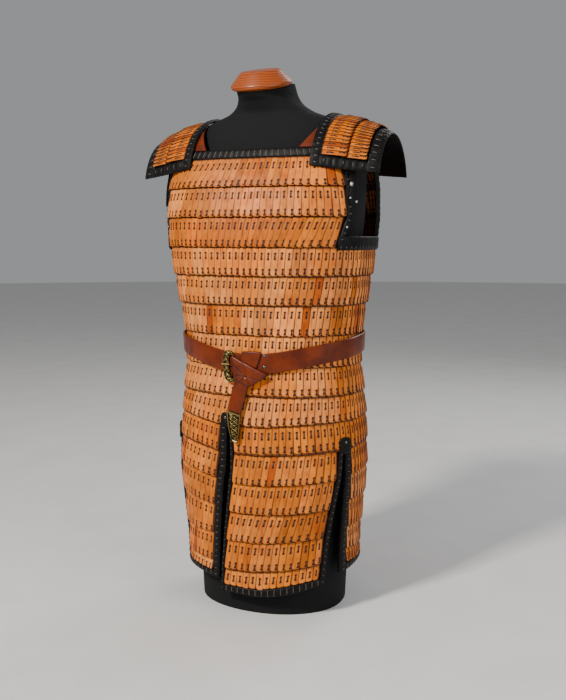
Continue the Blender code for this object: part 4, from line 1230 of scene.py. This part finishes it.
class Paint:
    """Short calls to build one node material."""

    def __init__(self, name):
        self.made = bpy.data.materials.new(name)
        self.made.use_nodes = True
        self.tree = self.made.node_tree
        self.shader = self.tree.nodes["Principled BSDF"]
        self.place = self.node("ShaderNodeTexCoord").outputs["Object"]

    def node(self, kind, inputs=(), **settings):
        made = self.tree.nodes.new(kind)
        for key, value in settings.items():
            setattr(made, key, value)
        for socket, value in dict(inputs).items():
            self.set(made.inputs[socket], value)
        return made

    def set(self, socket, value):
        """Links a socket or sets its value. A colour may be given without its alpha."""
        if isinstance(value, bpy.types.NodeSocket):
            self.tree.links.new(value, socket)
        else:
            socket.default_value = (*value, 1.0) if socket.type == "RGBA" else value

    def math(self, operation, first, second=0.0):
        return self.node("ShaderNodeMath", {0: first, 1: second}, operation=operation).outputs[0]

    def times(self, vector, factors):
        return self.node("ShaderNodeVectorMath", {0: vector, 1: factors}, operation="MULTIPLY").outputs[0]

    def distance(self, first, second):
        return self.node("ShaderNodeVectorMath", {0: first, 1: second}, operation="DISTANCE").outputs[1]

    def spread(self, value, low, high, to_low=0.0, to_high=1.0):
        """A value mapped smoothly from one range to another."""
        inputs = {"Value": value, 1: low, 2: high, 3: to_low, 4: to_high}
        return self.node("ShaderNodeMapRange", inputs, interpolation_type="SMOOTHSTEP").outputs[0]

    def noise(self, scale, detail=3.0, roughness=0.55, stretch=None):
        vector = self.times(self.place, stretch) if stretch else self.place
        inputs = {"Vector": vector, "Scale": scale, "Detail": detail, "Roughness": roughness}
        return self.node("ShaderNodeTexNoise", inputs).outputs[0]

    def mix(self, factor, first, second):
        inputs = {0: factor, 6: first, 7: second}
        return self.node("ShaderNodeMix", inputs, data_type="RGBA").outputs[2]

    def mark(self, name):
        return self.node("ShaderNodeAttribute", attribute_name=name).outputs["Vector"]

    def parts(self, name):
        """The three numbers of a mark."""
        return self.node("ShaderNodeSeparateXYZ", {0: self.mark(name)}).outputs

    def bump(self, height, distance, strength=1.0, under=None):
        inputs = {"Height": height, "Distance": distance, "Strength": strength}
        return self.node("ShaderNodeBump", inputs if under is None else {**inputs, "Normal": under}).outputs[0]

    def finish(self, colour, roughness, normal, **sockets):
        for name, value in {"Base_Color": colour, "Roughness": roughness, "Normal": normal, **sockets}.items():
            if value is not None:
                self.set(self.shader.inputs[name.replace("_", " ")], value)
        return self.made


def paint_lamella():
    """Waxed leather strips: each has its own dye, streaks along its grain and pores, painted shade in its holes and
    along its edges, and a lower end darkened partly as burnish and partly as painted shadow.
    """
    paint = Paint("lamella_leather_waxed")
    local, dye = paint.mark("local"), paint.mark("dye")
    upper, lower = paint.times(local, (1.0, 1.0, 0.0)), paint.times(local, (1.0, 0.0, 1.0))
    centres = [(upper, (HOLES_ACROSS, depth, 0.0)) for depth in HOLES_FROM_TOP]
    centres += [(lower, (LOW_HOLES_ACROSS, 0.0, depth)) for depth in HOLES_FROM_END]
    nearest = None
    for where, centre in centres:
        distance = paint.distance(where, tuple(1000 * part for part in centre))
        nearest = distance if nearest is None else paint.math("MINIMUM", nearest, distance)
    grain = paint.noise(420.0, stretch=(1.0, 1.0, 0.16))
    streaks = paint.noise(170.0, 2.0, stretch=(1.0, 1.0, 0.08))
    mottle = paint.noise(46.0, 4.0)
    nearest = paint.math("ADD", nearest, paint.spread(grain, 0.3, 0.7, -0.2, 0.2))
    colour = paint.mix(paint.spread(mottle, 0.35, 0.7), dye, paint.times(dye, (0.78, 0.68, 0.56)))
    tints = [
        # strength, tint
        (paint.spread(grain, 0.52, 0.78, 0.0, 0.55), paint.times(dye, (1.12, 1.16, 1.20))),
        (paint.spread(streaks, 0.53, 0.70, 0.0, 0.8), paint.times(dye, (0.66, 0.46, 0.34))),
        (paint.spread(nearest, 2.1, 4.0, 0.55, 0.0), (0.20, 0.050, 0.010)),
    ]
    for strength, tint in tints:
        colour = paint.mix(strength, colour, tint)
    across_mark, upper_mark, lower_mark = paint.parts("local")
    # Painted shade: the lower end is darkened partly as burnish and partly as the painted shadow of the row's lower
    # edge. The top is darkened as the painted shadow under the row above. The raised left edge is darkened partly as
    # a dark cut edge and partly as painted shade at the step. The right side is darkened as the painted shadow of the
    # next lamella's edge.
    shades = [
        # mark, from, to, strength at each
        (lower_mark, 0.2, 1.9, 0.85, 0.0),
        (upper_mark, 1.0, 3.8, 0.92, 0.0),
        (across_mark, 0.0, 1.2, 0.62, 0.0),
        (across_mark, 11.2, 13.0, 0.0, 0.92),
    ]
    # Painted shade inside the lace holes, joined with the painted shade above and mixed towards near black.
    dark = paint.spread(nearest, 1.85, 2.45, 1.0, 0.0)
    for shade in shades:
        dark = paint.math("MAXIMUM", dark, paint.spread(*shade))
    colour = paint.mix(dark, colour, (0.028, 0.009, 0.004))
    normal = paint.bump(paint.spread(nearest, 1.0, 2.1), 0.0008, 0.9)
    normal = paint.bump(grain, 0.00022, 0.6, normal)
    normal = paint.bump(paint.noise(1900.0, 2.0), 0.00008, 0.5, normal)
    return paint.finish(colour, paint.spread(mottle, 0.3, 0.75, 0.42, 0.58), normal, Specular_IOR_Level=0.17)


def paint_lace(name, colour, dark):
    """Waxed thong, twisted a little, darker in the hollows of its twist."""
    paint = Paint(name)
    twist = paint.noise(900.0, 2.0)
    return paint.finish(paint.mix(paint.spread(twist, 0.35, 0.65), dark, colour), 0.6, paint.bump(twist, 0.0003, 0.5))


def paint_edging():
    """Soft black leather: creases, a fine grain and rubbed high places."""
    paint = Paint("edging_leather_black")
    creases = paint.noise(130.0, 5.0, 0.62)
    grain = paint.node("ShaderNodeTexVoronoi", {"Vector": paint.place, "Scale": 1300.0}, feature="DISTANCE_TO_EDGE")
    colour = paint.mix(paint.spread(creases, 0.52, 0.74), (0.0045, 0.004, 0.004), (0.018, 0.015, 0.0135))
    normal = paint.bump(grain.outputs["Distance"], 0.00014, 0.5, paint.bump(creases, 0.0016, 0.55))
    return paint.finish(colour, paint.spread(creases, 0.3, 0.75, 0.42, 0.60), normal, Specular_IOR_Level=0.13)


def paint_belt():
    """Polished red-brown belt leather with long creases, darker patches, worn dark edges and painted shade in the
    folds of its pieces.
    """
    paint = Paint("belt_leather_polished")
    broad = paint.noise(24.0, 4.0)
    creases = paint.noise(90.0, 5.0, 0.6, (1.0, 1.0, 3.2))
    colour = paint.mix(paint.spread(broad, 0.35, 0.68), (0.150, 0.0215, 0.0035), (0.076, 0.010, 0.0018))
    colour = paint.mix(paint.spread(creases, 0.60, 0.78, 0.0, 0.5), colour, (0.20, 0.038, 0.008))
    # The first mark is the painted shade in the folds and the painted shadow under the knot, and it also darkens the
    # walls of the belt pieces. border darkens their rubbed edges as wear. Both are mixed towards near black.
    folded, border, _ = paint.parts("local")
    worn = paint.math("MULTIPLY", paint.spread(border, 0.88, 1.0), 0.7)
    colour = paint.mix(paint.math("MAXIMUM", folded, worn), colour, (0.016, 0.004, 0.002))
    normal = paint.bump(paint.noise(1500.0, 2.0), 0.0001, 0.4, paint.bump(creases, 0.0007, 0.5))
    roughness = paint.spread(broad, 0.3, 0.7, 0.30, 0.42)
    return paint.finish(colour, roughness, normal, Specular_IOR_Level=0.20, Coat_Weight=0.05, Coat_Roughness=0.25)


def paint_brass():
    """Old brass, dark in the hollows of its relief and rubbed bright on its high places."""
    paint = Paint("antique_brass_worn")
    grime = paint.noise(420.0, 4.0)
    height = paint.math("ADD", paint.parts("local")[0], paint.math("MULTIPLY", grime, 0.35))
    raised = paint.spread(height, 0.35, 1.05)
    colour = paint.mix(raised, (0.018, 0.013, 0.005), (0.27, 0.195, 0.068))
    roughness = paint.spread(raised, 0.0, 1.0, 0.60, 0.36)
    return paint.finish(colour, roughness, paint.bump(grime, 0.0003, 0.4), Metallic=1.0)


def paint_steel(name, brightness):
    """Dull steel with fine scratches."""
    paint = Paint(name)
    scratches = paint.noise(1600.0)
    low, high = (tuple(brightness * tone for tone in tones) for tones in ((0.42, 0.41, 0.40), (0.60, 0.59, 0.57)))
    colour = paint.mix(paint.spread(scratches, 0.35, 0.65), low, high)
    roughness = paint.spread(scratches, 0.3, 0.7, 0.25, 0.42)
    return paint.finish(colour, roughness, paint.bump(scratches, 0.0001, 0.4), Metallic=1.0)


def paint_jersey():
    """Black knitted jersey: fine upright ribs of stitches, lint and a soft sheen."""
    paint = Paint("form_jersey_knit")
    inputs = {"Vector": paint.place, "Scale": 190.0, "Distortion": 1.2, "Detail": 2.0}
    ribs = paint.node("ShaderNodeTexWave", inputs, bands_direction="DIAGONAL").outputs["Fac"]
    lint = paint.noise(700.0)
    colour = paint.mix(paint.spread(lint, 0.45, 0.75), (0.003, 0.003, 0.0036), (0.010, 0.010, 0.0115))
    normal = paint.bump(lint, 0.0003, 0.4, paint.bump(ribs, 0.00035, 0.5))
    return paint.finish(colour, 0.86, normal, Specular_IOR_Level=0.25)


def paint_wood():
    """Stained and varnished wood with its grain along one direction."""
    paint = Paint("cap_wood_varnished")
    inputs = {"Vector": paint.place, "Scale": 60.0, "Distortion": 4.0, "Detail": 3.0, "Detail Scale": 0.8}
    rings = paint.node("ShaderNodeTexWave", inputs, wave_type="RINGS", rings_direction="X").outputs["Fac"]
    fibres = paint.noise(160.0, stretch=(0.5, 9.0, 5.0))
    colour = paint.mix(paint.spread(rings, 0.1, 0.9), (0.34, 0.068, 0.007), (0.22, 0.039, 0.004))
    colour = paint.mix(paint.spread(fibres, 0.5, 0.75, 0.0, 0.4), colour, (0.16, 0.035, 0.010))
    normal = paint.bump(fibres, 0.00012, 0.4)
    return paint.finish(colour, 0.42, normal, Specular_IOR_Level=0.3, Coat_Weight=0.12, Coat_Roughness=0.2)


def paint_floor():
    paint = Paint("floor_pale")
    specks = paint.noise(6.0, 4.0)
    colour = paint.mix(paint.spread(specks, 0.3, 0.7), (0.66, 0.655, 0.645), (0.70, 0.695, 0.685))
    return paint.finish(colour, 0.75, None)


def make_looks():
    """The slot and materials of each look: the surface, then the laces or stitches, then the rivets."""
    edging_black, steel = paint_edging(), paint_steel("steel_rivet_dull", 1.0)
    lace = paint_lace("lace_brown", (0.060, 0.017, 0.006), (0.014, 0.004, 0.002))
    stitch = paint_lace("stitch_pale", (0.13, 0.105, 0.085), (0.032, 0.026, 0.021))
    belt, dark_steel = paint_belt(), paint_steel("dark_steel_rivet", 0.28)
    return {
        "lamella": ("lamella_leather", [paint_lamella(), lace]),
        "edging": ("edging_leather", [edging_black, stitch, steel]),
        "slit_head": ("edging_leather", [edging_black, stitch, dark_steel]),
        "strap": ("belt_leather", [belt, stitch]),
        "belt": ("belt_leather", [belt]),
        "belt_rivet": ("steel_rivet", [dark_steel]),
        "brass": ("antique_brass", [paint_brass()]),
        "jersey": ("form_jersey", [paint_jersey()]),
        "wood": ("cap_wood", [paint_wood()]),
    }


def make_stage():
    """A round pale floor, a soft key from the upper left, a weak fill and an even pale surround."""
    mesh = bpy.data.meshes.new("floor")
    work = bmesh.new()
    bmesh.ops.create_circle(work, cap_ends=True, segments=96, radius=14.0)
    work.to_mesh(mesh)
    work.free()
    floor = bpy.data.objects.new("floor", mesh)
    mesh.materials.append(paint_floor())
    bpy.context.scene.collection.objects.link(floor)
    floor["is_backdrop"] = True
    world = bpy.data.worlds.new("studio")
    world.use_nodes = True
    back = world.node_tree.nodes["Background"]
    back.inputs["Color"].default_value = (0.80, 0.81, 0.83, 1.0)
    back.inputs["Strength"].default_value = 0.38
    bpy.context.scene.world = world
    lamps = [
        # name, place, height aimed at, size, power, colour
        ("key", (-1.0, -3.0, 3.0), 0.6, 0.5, 204.0, (1.0, 0.955, 0.89)),
        ("fill", (3.0, -1.0, 1.6), 0.6, 2.0, 44.0, (0.98, 0.98, 1.0)),
        ("rim", (0.8, 2.6, 2.4), 0.7, 1.5, 35.0, (1.0, 1.0, 1.0)),
    ]
    for name, place, height, size, power, colour in lamps:
        data = bpy.data.lights.new(name, "AREA")
        data.size, data.energy, data.color = size, power, colour
        lamp = bpy.data.objects.new(name, data)
        lamp.location = place
        lamp.rotation_euler = (Vector((0.0, 0.0, height)) - Vector(place)).to_track_quat("-Z", "Y").to_euler()
        bpy.context.scene.collection.objects.link(lamp)


def make_camera():
    """The photograph's view: 2 m away, 25 degrees to the figure's left, a little above the waist."""
    turn, pitch, yaw = math.radians(25.0), math.radians(6.83), math.atan(10 / 960)
    look = Vector((-math.sin(turn), math.cos(turn), 0.0))
    right = Vector((math.cos(turn), math.sin(turn), 0.0))
    level = look * math.cos(yaw) + right * math.sin(yaw)
    direction = level * math.cos(pitch) - Vector((0.0, 0.0, math.sin(pitch)))
    data = bpy.data.cameras.new("camera")
    data.lens, data.sensor_width = 960 / 700 * 36.0, 36.0
    camera = bpy.data.objects.new("camera", data)
    camera.location = Vector((0.0, 0.0, 0.765)) - look * 2.0 + Vector(SHIFT)
    camera.rotation_euler = direction.to_track_quat("-Z", "Y").to_euler()
    bpy.context.scene.collection.objects.link(camera)
    bpy.context.scene.camera = camera


make_camera()
make_stage()
LOOKS = make_looks()
make_rows()
make_skirt_bindings()
make_top_bindings()
make_armhole_bindings()
make_slit_heads()
make_guards()
make_shoulder_straps()
make_arm_straps()
make_belt()
make_form()
VISUAL_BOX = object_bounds()
boxes = {"cad": CAD_BOX, "visual": VISUAL_BOX}
{name: [[float(c) for c in corner] for corner in box] for name, box in boxes.items()}
